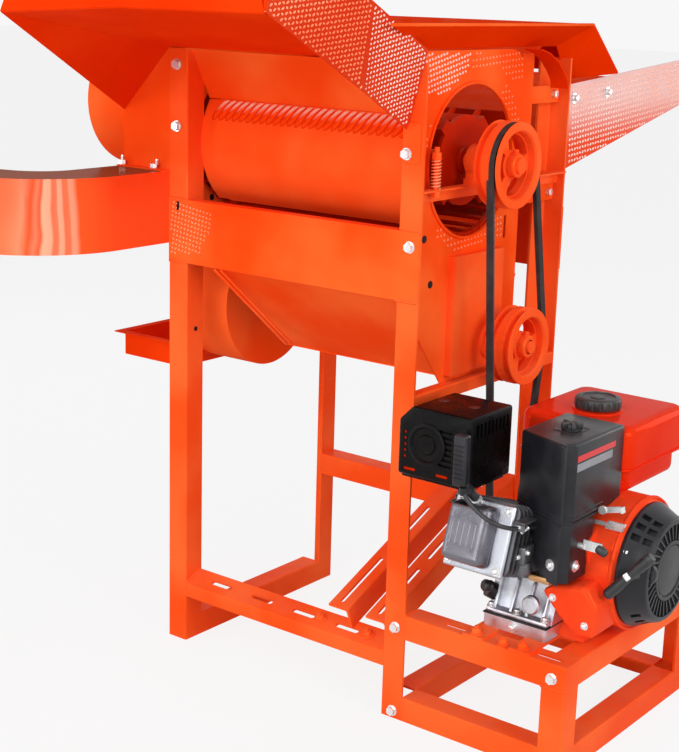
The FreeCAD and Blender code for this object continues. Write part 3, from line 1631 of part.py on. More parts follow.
os.makedirs("parts", exist_ok=True)
for name in sorted(nodes):
    shape = nodes[name]
    shape.translate(shift)
    print(name, "solids", len(shape.Solids), "valid", shape.isValid(),
          "volume", round(shape.Volume))
    shape.exportStep("parts/" + name + ".step")
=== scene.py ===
import bpy
import math
from mathutils import Matrix, Vector


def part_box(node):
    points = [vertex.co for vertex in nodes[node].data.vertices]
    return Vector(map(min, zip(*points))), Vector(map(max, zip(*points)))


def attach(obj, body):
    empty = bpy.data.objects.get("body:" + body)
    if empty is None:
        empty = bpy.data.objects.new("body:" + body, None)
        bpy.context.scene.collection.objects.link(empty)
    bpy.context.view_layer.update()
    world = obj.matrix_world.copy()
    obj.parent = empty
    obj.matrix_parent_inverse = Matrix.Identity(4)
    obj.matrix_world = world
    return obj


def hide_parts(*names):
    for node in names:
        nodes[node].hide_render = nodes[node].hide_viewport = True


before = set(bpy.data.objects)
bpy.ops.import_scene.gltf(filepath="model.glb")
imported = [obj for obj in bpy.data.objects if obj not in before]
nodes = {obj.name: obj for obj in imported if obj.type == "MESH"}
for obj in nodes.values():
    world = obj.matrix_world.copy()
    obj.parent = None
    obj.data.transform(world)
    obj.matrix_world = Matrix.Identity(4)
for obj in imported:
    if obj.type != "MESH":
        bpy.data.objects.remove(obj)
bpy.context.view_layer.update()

# The part's own frame: zero at the front left post's outer corner, lengths in millimetres
MM = 0.001
POST_FLANGE = 40.0
shift_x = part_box("posts")[0].x / MM + POST_FLANGE
shift_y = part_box("posts")[0].y / MM

# Directions, and places that several pieces share
ALONG, UP, DOWN, FRONTWARD = (1, 0, 0), (0, 0, 1), (0, 0, -1), (0, -1, 0)
DRUM_AXIS = (157, 882)
FAN_AXIS = (219, 590)
CRANK_AXIS = (190, 290)
RECOIL = (781, 190, 294)
BLOWER_START = 697
FILLER = (653, 248)
TANK_TOP = 503.0
PLUG_SEAT = (604, -22, 413)
LEAD_START = (612, -68.4)
RIGHT_PLATE = 452
WING_RIGHT, WING_LEFT = 472, -40
CYLINDER_LEAN = -18.0
STARTER_TILT = math.radians(10)

# Tests and tolerances in edit mode
NEARLY = 0.9
MERGE = 0.00001


def place(x, y, z):
    """A point of the machine, given in millimetres from the front left post."""
    return Vector(((x + shift_x) * MM, (y + shift_y) * MM, z * MM))


def step(x, y, z):
    """A way from one point to another, given in millimetres."""
    return Vector((x * MM, y * MM, z * MM))


def axes(along, up, out):
    """The turn that takes the main directions to these three."""
    return Matrix((along, up, out)).transposed().to_4x4()


# Camera, at the place from which the photograph was taken

def make_camera():
    lens = bpy.data.cameras.new("view")
    lens.sensor_width = 36.0
    lens.lens = 72.87
    lens.clip_end = 100.0
    eye = bpy.data.objects.new("view", lens)
    right = Vector((0.78933962, 0.61332727, 0.02779628))
    up = Vector((-0.17213864, 0.17762673, 0.96892571))
    back = Vector((0.5893312, -0.76959626, 0.24578513))
    eye.matrix_world = (Matrix.Translation(place(1737.977, -1840.280, 1132.718))
                        @ axes(right, up, back))
    bpy.context.scene.collection.objects.link(eye)
    bpy.context.scene.camera = eye
    bpy.context.scene.view_settings.view_transform = "Standard"


# Shader helpers. Each gives the output that the next one takes.

NODE_STEP = 200.0


def feed(tree, socket, value):
    """An input is linked to an output, or gets a value of its own."""
    if isinstance(value, bpy.types.NodeSocket):
        tree.links.new(value, socket)
    else:
        socket.default_value = value


def add_node(tree, kind, inputs=None, **settings):
    made = tree.nodes.new(kind)
    made.location = (NODE_STEP * len(tree.nodes), 0)
    for key, value in settings.items():
        setattr(made, key, value)
    for key, value in (inputs or {}).items():
        feed(tree, made.inputs[key], value)
    return made


def reckon(tree, operation, *values):
    return add_node(tree, "ShaderNodeMath", dict(enumerate(values)),
                    operation=operation).outputs[0]


def noise(tree, source, scale, detail, rough=0.5):
    return add_node(tree, "ShaderNodeTexNoise", {"Vector": source, "Scale": scale,
                                                 "Detail": detail, "Roughness": rough}
                    ).outputs["Fac"]


def fade(tree, value, low, high, first=0.0, last=1.0):
    """The first value below the low mark, the last above the high one, smooth between."""
    return add_node(tree, "ShaderNodeMapRange",
                    {"Value": value, "From Min": low, "From Max": high, "To Min": first,
                     "To Max": last}, interpolation_type="SMOOTHSTEP").outputs[0]


def blend(tree, share, first, second):
    return add_node(tree, "ShaderNodeMix", {0: share, 6: first, 7: second},
                    data_type="RGBA").outputs[2]


def bump(tree, height, strength, distance):
    return add_node(tree, "ShaderNodeBump", {"Height": height, "Strength": strength,
                                             "Distance": distance}).outputs[0]


def object_space(tree):
    return add_node(tree, "ShaderNodeTexCoord").outputs["Object"]


def facing(tree):
    return add_node(tree, "ShaderNodeNewGeometry").outputs["Normal"]


def part_of(tree, vector, letter):
    return add_node(tree, "ShaderNodeSeparateXYZ", {0: vector}).outputs[letter]


def colour(red, green, blue):
    """A colour as it is seen on a screen, made linear for the shader."""
    def straight(part):
        return part / 12.92 if part <= 0.04045 else ((part + 0.055) / 1.055) ** 2.4
    return (straight(red / 255), straight(green / 255), straight(blue / 255), 1.0)


def open_group(name, colours, amounts):
    """A shared finish with its controls. It gives colour, roughness and normal."""
    group = bpy.data.node_groups.new(name, "ShaderNodeTree")
    for label in colours:
        group.interface.new_socket(label, in_out="INPUT", socket_type="NodeSocketColor")
    for label in amounts:
        group.interface.new_socket(label, in_out="INPUT", socket_type="NodeSocketFloat")
    for label, kind in (("Colour", "Color"), ("Roughness", "Float"), ("Normal", "Vector")):
        group.interface.new_socket(label, in_out="OUTPUT", socket_type="NodeSocket" + kind)
    return group, add_node(group, "NodeGroupInput").outputs, object_space(group)


def close_group(group, tone, rough, normal):
    add_node(group, "NodeGroupOutput", {"Colour": tone, "Roughness": rough, "Normal": normal})
    return group


UNDERCOAT = colour(120, 40, 25)
CHAFF_DUST = (0.55, 0.33, 0.2, 1)
PEEL_DEPTH, GRAIN_DEPTH, PEBBLE_DEPTH = 0.0004, 0.0005, 0.0003


def make_paint_group():
    """Sprayed enamel: cloudy tone, dust on upward faces, small chips, slight orange peel."""
    tree, given, spot = open_group(
        "sprayed_enamel", ("Paint", "Faded paint"),
        ("Chip amount", "Dust amount", "Gloss roughness", "Peel height"))
    tone = blend(tree, fade(tree, noise(tree, spot, 5.0, 3.0), 0.38, 0.66),
                 given["Paint"], given["Faded paint"])
    specks = fade(tree, noise(tree, spot, 160.0, 3.0, 0.7), 0.66, 0.70)
    rubbed = fade(tree, noise(tree, spot, 9.0, 2.0), 0.56, 0.72)
    chips = reckon(tree, "MULTIPLY", reckon(tree, "MULTIPLY", specks, rubbed),
                   given["Chip amount"])
    upward = fade(tree, part_of(tree, facing(tree), "Z"), 0.45, 0.95)
    settled = fade(tree, noise(tree, spot, 22.0, 4.0, 0.65), 0.35, 0.75)
    dust = reckon(tree, "MULTIPLY", reckon(tree, "MULTIPLY", upward, settled),
                  given["Dust amount"])
    smear = fade(tree, noise(tree, spot, 30.0, 4.0, 0.6), 0.3, 0.7, -0.05, 0.07)
    rough = reckon(tree, "MULTIPLY_ADD", dust, 0.5,
                   reckon(tree, "ADD", smear, given["Gloss roughness"]))
    peel = bump(tree, noise(tree, spot, 420.0, 2.0), given["Peel height"], PEEL_DEPTH)
    dusty = blend(tree, dust, blend(tree, chips, tone, UNDERCOAT), CHAFF_DUST)
    return close_group(tree, dusty, rough, peel)


def make_metal_group():
    """Bare or plated metal: cloudy stains and fine grain."""
    tree, given, spot = open_group(
        "worn_metal", ("Metal", "Stain"),
        ("Stain amount", "Base roughness", "Grain size", "Grain height"))
    stained = fade(tree, noise(tree, spot, 18.0, 5.0, 0.65), 0.45, 0.75)
    tone = blend(tree, reckon(tree, "MULTIPLY", stained, given["Stain amount"]),
                 given["Metal"], given["Stain"])
    smear = fade(tree, noise(tree, spot, 45.0, 4.0, 0.6), 0.3, 0.7, -0.08, 0.12)
    grain = noise(tree, spot, given["Grain size"], 3.0, 0.6)
    return close_group(tree, tone, reckon(tree, "ADD", smear, given["Base roughness"]),
                       bump(tree, grain, given["Grain height"], GRAIN_DEPTH))


def make_moulded_group():
    """Moulded plastic and rubber: fine pebbled grain and rubbed patches."""
    tree, given, spot = open_group("moulded_grain", ("Tint", "Rubbed tint"),
                                   ("Base roughness", "Pebble size", "Pebble height"))
    rubbed = noise(tree, spot, 26.0, 5.0, 0.6)
    tone = blend(tree, fade(tree, rubbed, 0.42, 0.74), given["Tint"], given["Rubbed tint"])
    rough = reckon(tree, "ADD", fade(tree, rubbed, 0.3, 0.7, -0.06, 0.08),
                   given["Base roughness"])
    pebbles = add_node(tree, "ShaderNodeTexVoronoi",
                       {"Vector": spot, "Scale": given["Pebble size"]}).outputs["Distance"]
    return close_group(tree, tone, rough,
                       bump(tree, pebbles, given["Pebble height"], PEBBLE_DEPTH))


paint_group = make_paint_group()
metal_group = make_metal_group()
moulded_group = make_moulded_group()


def dressed_material(name, group, values, shine, metallic):
    """A material that takes colour, roughness and normal from a shared finish."""
    made = bpy.data.materials.new(name)
    made.use_nodes = True
    tree = made.node_tree
    given = add_node(tree, "ShaderNodeGroup", values, node_tree=group).outputs
    surface = tree.nodes["Principled BSDF"].inputs
    for key, value in (("Base Color", given["Colour"]), ("Roughness", given["Roughness"]),
                       ("Normal", given["Normal"]), ("Specular IOR Level", shine),
                       ("Metallic", metallic)):
        feed(tree, surface[key], value)
    return made


def paint(name, main, faded, chip=0.35, dust=0.12, gloss=0.34, peel=0.25,
          shine=0.0, glint=0.05):
    return dressed_material(name, paint_group,
                            {"Paint": colour(*main), "Faded paint": colour(*faded),
                             "Chip amount": chip, "Dust amount": dust,
                             "Gloss roughness": gloss, "Peel height": peel}, shine, glint)


def metal(name, main, stain, amount, rough, grain, height, metallic=1.0, shine=0.5):
    return dressed_material(name, metal_group,
                            {"Metal": colour(*main), "Stain": colour(*stain),
                             "Stain amount": amount, "Base roughness": rough,
                             "Grain size": grain, "Grain height": height}, shine, metallic)


def moulded(name, main, rubbed, rough, size, height, shine=0.5):
    return dressed_material(name, moulded_group,
                            {"Tint": colour(*main), "Rubbed tint": colour(*rubbed),
                             "Base roughness": rough, "Pebble size": size,
                             "Pebble height": height}, shine, 0.0)


frame_paint = paint("frame_enamel", (248, 80, 24), (254, 104, 46), shine=0.02, glint=0.08)
sheet_paint = paint("sheet_enamel", (248, 74, 18), (254, 102, 42), gloss=0.36)
# A darker copy of the enamel for the concave and rear guard inside the machine: painted shade.
shaded_inner_paint = paint("inner_enamel_painted_shade", (178, 30, 2), (196, 40, 6), chip=0.7, dust=0.3, gloss=0.5,
                    glint=0.0)
# A darker copy of the enamel for the trays, seen from below in shade: painted shade.
shaded_tray_paint = paint("tray_enamel_painted_shade", (236, 52, 6), (242, 62, 10), dust=0.1, gloss=0.4, glint=0.04)
# A darker copy of the enamel for the hood, the hopper's rims and their curled ends, whose
# undersides lie in shade: painted shade.
shaded_hood_paint = paint("hood_enamel_painted_shade", (222, 46, 0), (230, 54, 2), dust=0.1, gloss=0.4, glint=0.04)
chute_paint = paint("chute_enamel", (246, 76, 30), (250, 88, 38), gloss=0.12, peel=0.06,
                    glint=0.12)
guard_paint = paint("guard_enamel", (251, 80, 24), (255, 102, 44), chip=0.05, gloss=0.4,
                    peel=0.1)
ridge_paint = paint("ridge_enamel", (238, 60, 10), (242, 68, 14), gloss=0.2, peel=0.05,
                    dust=0.0, chip=0.0, glint=0.15)
tread_paint = paint("tread_enamel", (212, 54, 24), (220, 66, 32), gloss=0.3, dust=0.0, chip=0.2,
                    glint=0.08)
wing_paint = paint("wing_enamel", (222, 66, 30), (228, 76, 38), gloss=0.3, dust=0.0, chip=0.2,
                   glint=0.08)
# Pale paint on the tread lugs: a painted highlight where their tops catch the light.
lug_highlight_paint = paint("tread_lug_painted_highlight", (255, 188, 168), (255, 220, 208), gloss=0.22, shine=0.3,
                  dust=0.0, chip=0.0)
# Paler orange on the faint lugs and the adjuster spring: a painted highlight.
soft_lug_highlight_paint = paint("soft_lug_painted_highlight", (252, 124, 78), (255, 164, 124), gloss=0.25,
                       shine=0.2, dust=0.0, chip=0.0)
# A darker copy of the enamel for the parts seen through the window: painted shade. It also
# colours the orange seen in the muffler's openings.
shaded_rotor_paint = paint("rotor_enamel_painted_shade", (186, 34, 4), (206, 44, 8), chip=0.7, dust=0.3, glint=0.1)
pulley_paint = paint("pulley_enamel", (250, 84, 32), (252, 96, 42), gloss=0.24, chip=0.5,
                     glint=0.12)
tank_paint = paint("tank_enamel", (224, 42, 12), (232, 52, 20), gloss=0.1,
                   chip=0.1, dust=0.05, peel=0.06, glint=0.22)
blower_paint = paint("blower_enamel", (246, 70, 32), (250, 80, 40), gloss=0.16,
                     chip=0.15, dust=0.05, peel=0.1, glint=0.16)
cast_metal = metal("cast_aluminium", (206, 208, 216), (130, 124, 120), 0.55,
                   0.4, 900.0, 0.5)
# Aluminium darkened for the cylinder and carburettor, which lie in shadow: painted shade.
shaded_fin_metal = metal("fin_aluminium_painted_shade", (112, 112, 116), (48, 46, 44), 0.6, 0.5,
                  700.0, 0.5)
brass_metal = metal("brass_spacer", (196, 150, 104), (120, 84, 52), 0.5, 0.36,
                    700.0, 0.3)
bright_metal = metal("flange_aluminium", (186, 188, 196), (120, 116, 114), 0.5,
                     0.34, 1100.0, 0.3)
cover_metal = metal("cover_aluminium", (122, 120, 128), (66, 58, 56), 0.6, 0.32,
                    1200.0, 0.25)
shaft_steel = metal("shaft_steel", (190, 190, 192), (96, 80, 66), 0.5, 0.25, 500.0,
                    0.15)
zinc_steel = metal("zinc_plate", (228, 228, 228), (176, 172, 162), 0.35, 0.28, 600.0,
                   0.15, 0.75)
muffler_steel = metal("muffler_black", (9, 8, 9), (30, 18, 15), 0.45, 0.3, 900.0,
                      0.3, 0.0, 0.1)
dark_steel = metal("dark_steel", (58, 54, 54), (96, 60, 44), 0.5, 0.34, 500.0,
                   0.2, 0.7)
black_plastic = moulded("black_plastic", (28, 28, 32), (38, 38, 43), 0.34, 1100.0, 0.22, 0.32)
grip_plastic = moulded("grip_plastic", (30, 30, 32), (48, 48, 50), 0.42, 800.0, 0.4)
belt_rubber = moulded("belt_rubber", (34, 32, 32), (56, 52, 50), 0.62, 1500.0, 0.5, 0.3)
lead_rubber = moulded("lead_rubber", (24, 24, 26), (44, 44, 46), 0.4, 900.0, 0.15)
# Near-black for hole depths and the recoil channel: painted shade.
hole_shade_paint = moulded("painted_hole_shade", (10, 10, 11), (18, 17, 17), 0.7, 900.0, 0.2, 0.2)
gasket_black = moulded("gasket", (38, 38, 40), (66, 64, 62), 0.7, 900.0, 0.3, 0.3)
red_stripe = moulded("red_stripe", (206, 24, 28), (216, 46, 42), 0.35, 900.0, 0.05)
grey_stripe = moulded("grey_stripe", (128, 128, 134), (146, 146, 150), 0.35, 900.0, 0.05)


def tint_over(material, share, tint):
    """A further colour over a share of what the material has so far."""
    tree = material.node_tree
    target = tree.nodes["Principled BSDF"].inputs["Base Color"]
    feed(tree, target, blend(tree, share, target.links[0].from_socket, tint))


def paint_facing_light(material, way, low, high, tint):
    """Painted light: a tint where the surface faces one way, used as a painted highlight on
    pressed ridges and as painted shade on upward faces.
    """
    tree = material.node_tree
    share = add_node(tree, "ShaderNodeVectorMath", {0: facing(tree), 1: way},
                     operation="DOT_PRODUCT").outputs["Value"]
    tint_over(material, fade(tree, share, low, high), tint)


def pale_wings():
    """The reflection of a white sky in the upper part of the back wings."""
    tree = wing_paint.node_tree
    height = part_of(tree, object_space(tree), "Z")
    tint_over(wing_paint, fade(tree, height, 0.885, 0.975, 0.0, 0.8), (0.8, 0.58, 0.55, 1))


def paint_chute_reflections():
    """Painted reflections: upright pale streaks on the bend of the chute, and painted shade
    darkening its upward faces.
    """
    # Painted shade on the chute's upward faces.
    paint_facing_light(chute_paint, UP, 0.6, 0.9, (0.27, 0.075, 0.03, 1))
    tree = chute_paint.node_tree
    spot = object_space(tree)
    swayed = reckon(tree, "MULTIPLY_ADD", noise(tree, spot, 11.0, 1.0), 0.03,
                    part_of(tree, spot, "Y"))
    # Bands of painted reflection across the chute, falling only on its upright faces.
    bands = add_node(tree, "ShaderNodeValToRGB", {0: fade(tree, swayed, -0.515, -0.385)})
    line = bands.color_ramp.elements
    line[0].color = (0.1, 0.1, 0.1, 1)
    line[1].color = (0, 0, 0, 1)
    for spot_along, level in ((0.1, 0.28), (0.18, 0.04), (0.24, 0.3), (0.3, 0.08), (0.34, 0.8),
                              (0.44, 0.72), (0.48, 0.2), (0.55, 0.26), (0.58, 0.7),
                              (0.64, 0.62), (0.67, 0.18), (0.74, 0.2), (0.77, 0.55),
                              (0.82, 0.5), (0.88, 0.0)):
        line.new(spot_along).color = (level, level, level, 1)
    upright = fade(tree, part_of(tree, facing(tree), "Z"), 0.2, 0.5, 0.85, 0.0)
    tint_over(chute_paint, reckon(tree, "MULTIPLY", bands.outputs["Color"], upright),
              (1.0, 0.58, 0.38, 1))


# Painted highlight on the guard ridges' faces that look up and forward.
paint_facing_light(ridge_paint, (0.3, -0.35, 0.88), 0.6, 0.86, (1.0, 0.66, 0.5, 1))
pale_wings()
paint_chute_reflections()

material_of_nodes = (
    (frame_paint, "posts floor_rails front_low_rail cross_bars inclined_rails bed_top_rails "
                  "bed_posts engine_cross_rails bearing_channel bearing_bar"),
    (sheet_paint, "beam_front beam_back end_plate_left end_plate_right front_apron trough "
                  "fan_housing straw_box"),
    (shaded_tray_paint, "front_tray back_tray grain_tray"),
    (shaded_hood_paint, "rear_hood hopper_rims"),
    (shaded_inner_paint, "concave rear_guard"),
    (guard_paint, "drum_guard straw_round_end"),
    (chute_paint, "straw_chute"),
    (tread_paint, "wing_front_right"),
    (wing_paint, "back_wings"),
    (shaded_rotor_paint, "drum_rotor drum_pegs straw_paddles fan_wheel"),
    (pulley_paint, "drum_pulley fan_pulley shaft_bearings adjuster_bolt drum_shaft fan_shaft"),
    # The spring's coils take a painted highlight.
    (soft_lug_highlight_paint, "adjuster_spring"),
    (tank_paint, "fuel_tank"),
    (blower_paint, "blower_housing"),
    (cast_metal, "crankcase"),
    (shaded_fin_metal, "cylinder"),
    (cover_metal, "valve_cover"),
    (shaft_steel, "engine_shaft"),
    (zinc_steel, "frame_bolts throttle_lever choke_lever"),
    (dark_steel, "engine_pulley"),
    (muffler_steel, "muffler"),
    (black_plastic, "recoil_cover air_cleaner fuel_cap oil_plug spark_cap"),
    (grip_plastic, "starter_grip"),
    (belt_rubber, "drive_belt"),
    (lead_rubber, "ignition_lead"))


def dress_nodes():
    """Every node of the part gets its material."""
    node_material = {name: material for material, names in material_of_nodes
                     for name in names.split()}
    for name, thing in nodes.items():
        if len(thing.material_slots) == 0:
            thing.data.materials.append(node_material[name])
        for spot in thing.material_slots:
            spot.material = node_material[name]


# Studio: a pale floor, a pale surround and soft lamps

def grey_shader(tree, kind, level, **more):
    return add_node(tree, kind, {"Color": (level, level, level, 1), **more}).outputs[0]


def seen_directly(tree, *kinds):
    """One for the rays by which the camera sees a thing, itself or in a mirror."""
    rays = add_node(tree, "ShaderNodeLightPath").outputs
    share = rays["Is Camera Ray"]
    for kind in kinds:
        share = reckon(tree, "MAXIMUM", share, rays[kind])
    return share


def make_surround():
    world = bpy.data.worlds.new("studio")
    bpy.context.scene.world = world
    world.use_nodes = True
    tree = world.node_tree
    tree.nodes.clear()
    light = grey_shader(tree, "ShaderNodeBackground", 1.0, Strength=0.36)
    seen = grey_shader(tree, "ShaderNodeBackground", 0.93, Strength=1.0)
    share = seen_directly(tree, "Is Glossy Ray", "Is Transmission Ray")
    mix = add_node(tree, "ShaderNodeMixShader", {0: share, 1: light, 2: seen})
    add_node(tree, "ShaderNodeOutputWorld", {0: mix.outputs[0]})


def make_floor():
    bpy.ops.mesh.primitive_plane_add(size=60.0, location=(0, 0, 0))
    floor = bpy.context.object
    floor.name = "floor"
    pale = bpy.data.materials.new("pale_floor")
    pale.use_nodes = True
    tree = pale.node_tree
    tree.nodes.clear()
    seen = add_node(tree, "ShaderNodeAddShader",
                    {0: grey_shader(tree, "ShaderNodeBsdfDiffuse", 0.1),
                     1: grey_shader(tree, "ShaderNodeEmission", 0.852)})
    mix = add_node(tree, "ShaderNodeMixShader",
                   {0: seen_directly(tree, "Is Glossy Ray"),
                    1: grey_shader(tree, "ShaderNodeBsdfDiffuse", 0.7), 2: seen.outputs[0]})
    add_node(tree, "ShaderNodeOutputMaterial", {0: mix.outputs[0]})
    floor.data.materials.append(pale)


def make_lamps():
    """Soft lamps: name, place, what it points at, size in metres and power in watts."""
    for name, spot, target, size, power in (
            ("key_lamp", (900, -2900, 2300), (300, 100, 600), (2.0, 2.0), 60.0),
            ("low_lamp", (500, -2900, 250), (250, 100, 650), (2.2, 0.6), 16.0),
            ("side_lamp", (3200, -300, 1500), (400, 100, 500), (1.6, 1.6), 42.0),
            ("window_lamp", (1900, 3100, 1250), (450, 300, 900), (1.1, 1.5), 14.0),
            ("strip_lamp", (-2300, -2300, 700), (-100, 0, 700), (0.4, 2.2), 18.0),
            ("far_lamp", (-2400, 1400, 2400), (200, 200, 700), (2.0, 2.0), 18.0)):
        lamp = bpy.data.lights.new(name, "AREA")
        lamp.shape = "RECTANGLE"
        lamp.size, lamp.size_y = size
        lamp.energy = power
        holder = bpy.data.objects.new(name, lamp)
        holder.location = place(*spot)
        holder.rotation_mode = "QUATERNION"
        holder.rotation_quaternion = (place(*target) - place(*spot)).to_track_quat("-Z", "Y")
        bpy.context.scene.collection.objects.link(holder)


# Making: small tools for work in edit mode

def leave():
    bpy.ops.object.mode_set(mode="OBJECT")


def leave_alone():
    """Nothing stays selected, so that the next operator acts on the new piece alone."""
    if bpy.context.object is not None and bpy.context.object.mode != "OBJECT":
        leave()
    bpy.ops.object.select_all(action="DESELECT")


def hold(*things):
    leave_alone()
    for thing in things:
        thing.select_set(True)
    bpy.context.view_layer.objects.active = things[0]


def settle(thing):
    """The object's place goes into its mesh."""
    hold(thing)
    bpy.ops.object.transform_apply(location=True, rotation=True, scale=True)
    return thing


def edit(thing, action="SELECT", kind="VERT"):
    """Edit mode, with all of a piece selected or none of it."""
    hold(thing)
    bpy.ops.object.mode_set(mode="EDIT")
    bpy.ops.mesh.select_mode(type=kind)
    bpy.ops.mesh.select_all(action=action)


def face_outwards():
    """Leaves edit mode with all normals outward."""
    bpy.ops.mesh.select_all(action="SELECT")
    bpy.ops.mesh.normals_make_consistent(inside=False)
    leave()


def pick(thing, axis, kind="FACE"):
    """Edit mode, with the faces that look along an axis or the edges that run along it."""
    edit(thing, "DESELECT", kind)
    leave()
    mesh = thing.data
    axis = Vector(axis)
    if kind == "FACE":
        for face in mesh.polygons:
            face.select = face.normal.dot(axis) > NEARLY
    else:
        for edge in mesh.edges:
            first, last = (mesh.vertices[k].co for k in edge.vertices)
            edge.select = abs((last - first).normalized().dot(axis)) > NEARLY
    bpy.ops.object.mode_set(mode="EDIT")


def pick_points(thing, wanted):
    """Edit mode, with the points selected whose number the test accepts."""
    edit(thing, "DESELECT")
    leave()
    for point in thing.data.vertices:
        point.select = wanted(point.index)
    bpy.ops.object.mode_set(mode="EDIT")


def inset(thing, axis, border, rise):
    """The faces that look along an axis get a border and are pushed out, or in."""
    pick(thing, axis)
    bpy.ops.mesh.inset(thickness=border * MM, depth=rise * MM)
    leave()


def push(thing, axis, way):
    """The faces that look along an axis are moved."""
    pick(thing, axis)
    bpy.ops.transform.translate(value=way)
    leave()


def round_off(thing, axis, radius, segments, kind="EDGE"):
    pick(thing, axis, kind)
    bpy.ops.mesh.bevel(offset=radius * MM, segments=segments, affect="EDGES")
    leave()


def apply(thing, modifier):
    hold(thing)
    bpy.ops.object.modifier_apply(modifier=modifier.name)
    return thing


def soften(thing, width, segments=2, angle=30.0):
    bevel = thing.modifiers.new("rounded_edges", "BEVEL")
    bevel.width = width * MM
    bevel.segments = segments
    bevel.limit_method = "ANGLE"
    bevel.angle_limit = math.radians(angle)
    return apply(thing, bevel)


def cut_away(thing, *cutters):
    for cutter in cutters:
        saw = thing.modifiers.new("cut", "BOOLEAN")
        saw.operation = "DIFFERENCE"
        saw.solver = "EXACT"
        saw.object = cutter
        apply(thing, saw)
        bpy.data.objects.remove(cutter)


def in_row(thing, way, count):
    """Copies of a piece in a straight row, each one way further on."""
    row = thing.modifiers.new("row", "ARRAY")
    row.use_relative_offset = False
    row.use_constant_offset = True
    row.constant_offset_displace = way
    row.count = count
    return apply(thing, row)


def join_all(first, *others):
    hold(first, *others)
    bpy.ops.object.join()
    return first


def repeat(thing, matrices):
    """Copies of a piece at each place, each with its own mesh, and all one object."""
    twins = []
    for matrix in matrices:
        hold(thing)
        bpy.ops.object.duplicate(linked=False)
        twin = bpy.context.object
        twin.matrix_world = matrix @ twin.matrix_world
        twins.append(settle(twin))
    return join_all(thing, *twins)


def about(centre, axis, degrees):
    """A turn about a line through a point."""
    spot = Matrix.Translation(centre)
    return spot @ Matrix.Rotation(math.radians(degrees), 4, axis) @ spot.inverted()


def swing(thing, centre, axis, degrees):
    thing.matrix_world = about(centre, axis, degrees) @ thing.matrix_world
    return settle(thing)


def point_along(thing, axis):
    """A piece made upright is laid along an axis."""
    thing.rotation_mode = "QUATERNION"
    thing.rotation_quaternion = Vector(UP).rotation_difference(Vector(axis).normalized())


def block(x0, x1, y0, y1, z0, z1):
    leave_alone()
    bpy.ops.mesh.primitive_cube_add(size=1.0, location=place((x0 + x1) / 2, (y0 + y1) / 2,
                                                             (z0 + z1) / 2))
    made = bpy.context.object
    bpy.ops.transform.resize(value=((x1 - x0) * MM, (y1 - y0) * MM, (z1 - z0) * MM))
    return settle(made)


def rod(sides, radius, length, spot, axis=UP):
    """A round bar with one end at a spot, along an axis."""
    leave_alone()
    way = Vector(axis).normalized()
    bpy.ops.mesh.primitive_cylinder_add(vertices=sides, radius=radius * MM, depth=length * MM,
                                        location=spot + way * (length * MM / 2))
    made = bpy.context.object
    point_along(made, axis)
    return settle(made)


def turned(profile, spot, axis=UP, sides=64, ring=False):
    """A turned form: a circle drawn up through the radii and heights of its profile."""
    leave_alone()
    radius, height = profile[0]
    bpy.ops.mesh.primitive_circle_add(vertices=sides, radius=radius * MM,
                                      fill_type="NOTHING" if ring else "NGON",
                                      location=(0, 0, height * MM))
    made = settle(bpy.context.object)
    edit(made)
    for (last_radius, last_height), (radius, height) in zip(profile, profile[1:]):
        bpy.ops.mesh.extrude_region_move(
            TRANSFORM_OT_translate={"value": (0, 0, (height - last_height) * MM)})
        share = radius / last_radius
        bpy.ops.transform.resize(value=(share, share, 1), center_override=(0, 0, height * MM))
    bpy.ops.mesh.select_all(action="SELECT")
    bpy.ops.mesh.remove_doubles(threshold=MERGE)
    face_outwards()
    point_along(made, axis)
    made.location = spot
    return settle(made)


def plate_of(corners, depth=None):
    """A flat plate between its corners, drawn out to its depth."""
    leave_alone()
    bpy.ops.mesh.primitive_circle_add(vertices=len(corners), radius=0.1, fill_type="NGON",
                                      location=(0, 0, 0))
    made = bpy.context.object
    for point, corner in zip(made.data.vertices, corners):
        point.co = corner
    edit(made)
    if depth:
        bpy.ops.mesh.extrude_region_move(TRANSFORM_OT_translate={"value": depth})
    face_outwards()
    return made


def half_ball(segments, rings, size, foot=0.0):
    """The upper part of a stretched ball, closed by a flat foot at a height."""
    leave_alone()
    bpy.ops.mesh.primitive_uv_sphere_add(segments=segments, ring_count=rings, radius=MM,
                                         location=(0, 0, 0))
    made = bpy.context.object
    edit(made)
    bpy.ops.transform.resize(value=size)
    bpy.ops.mesh.bisect(plane_co=(0, 0, foot * MM), plane_no=UP, clear_inner=True,
                        use_fill=True)
    leave()
    return made


def hex_bolt(spot, axis, across=11.0, height=6.0, washer=8.0):
    """A hexagon head with a washer and a rounded crown."""
    way = Vector(axis).normalized()
    washer_height = 1.6
    disc = rod(20, washer, washer_height, spot, axis)
    head = rod(6, across / math.sqrt(3), height, spot + way * washer_height * MM, axis)
    inset(head, way, 1.2, 0.9)
    return join_all(disc, soften(head, 0.4, 1))


def hem(start, end, radius=2.2):
    """A rolled edge along a straight run."""
    way = place(*end) - place(*start)
    length = way.length / MM
    return turned([(radius * 0.8, -0.6), (radius, 0.4), (radius, length - 0.4),
                   (radius * 0.8, length + 0.6)], place(*start), way, 12)


def finish(thing, name, material, body="machine", smooth=35.0, shows=None):
    """Name, material, shading and body of a piece, or of several as one."""
    if isinstance(thing, list):
        thing = join_all(*thing)
    settle(thing)
    thing.name = name
    thing.data.name = name
    thing.data.materials.clear()
    thing.data.materials.append(material)
    hold(thing)
    bpy.ops.object.shade_smooth_by_angle(angle=math.radians(smooth))
    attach(thing, body)
    if shows:
        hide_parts(shows)


# Ignition lead: a cord of its own

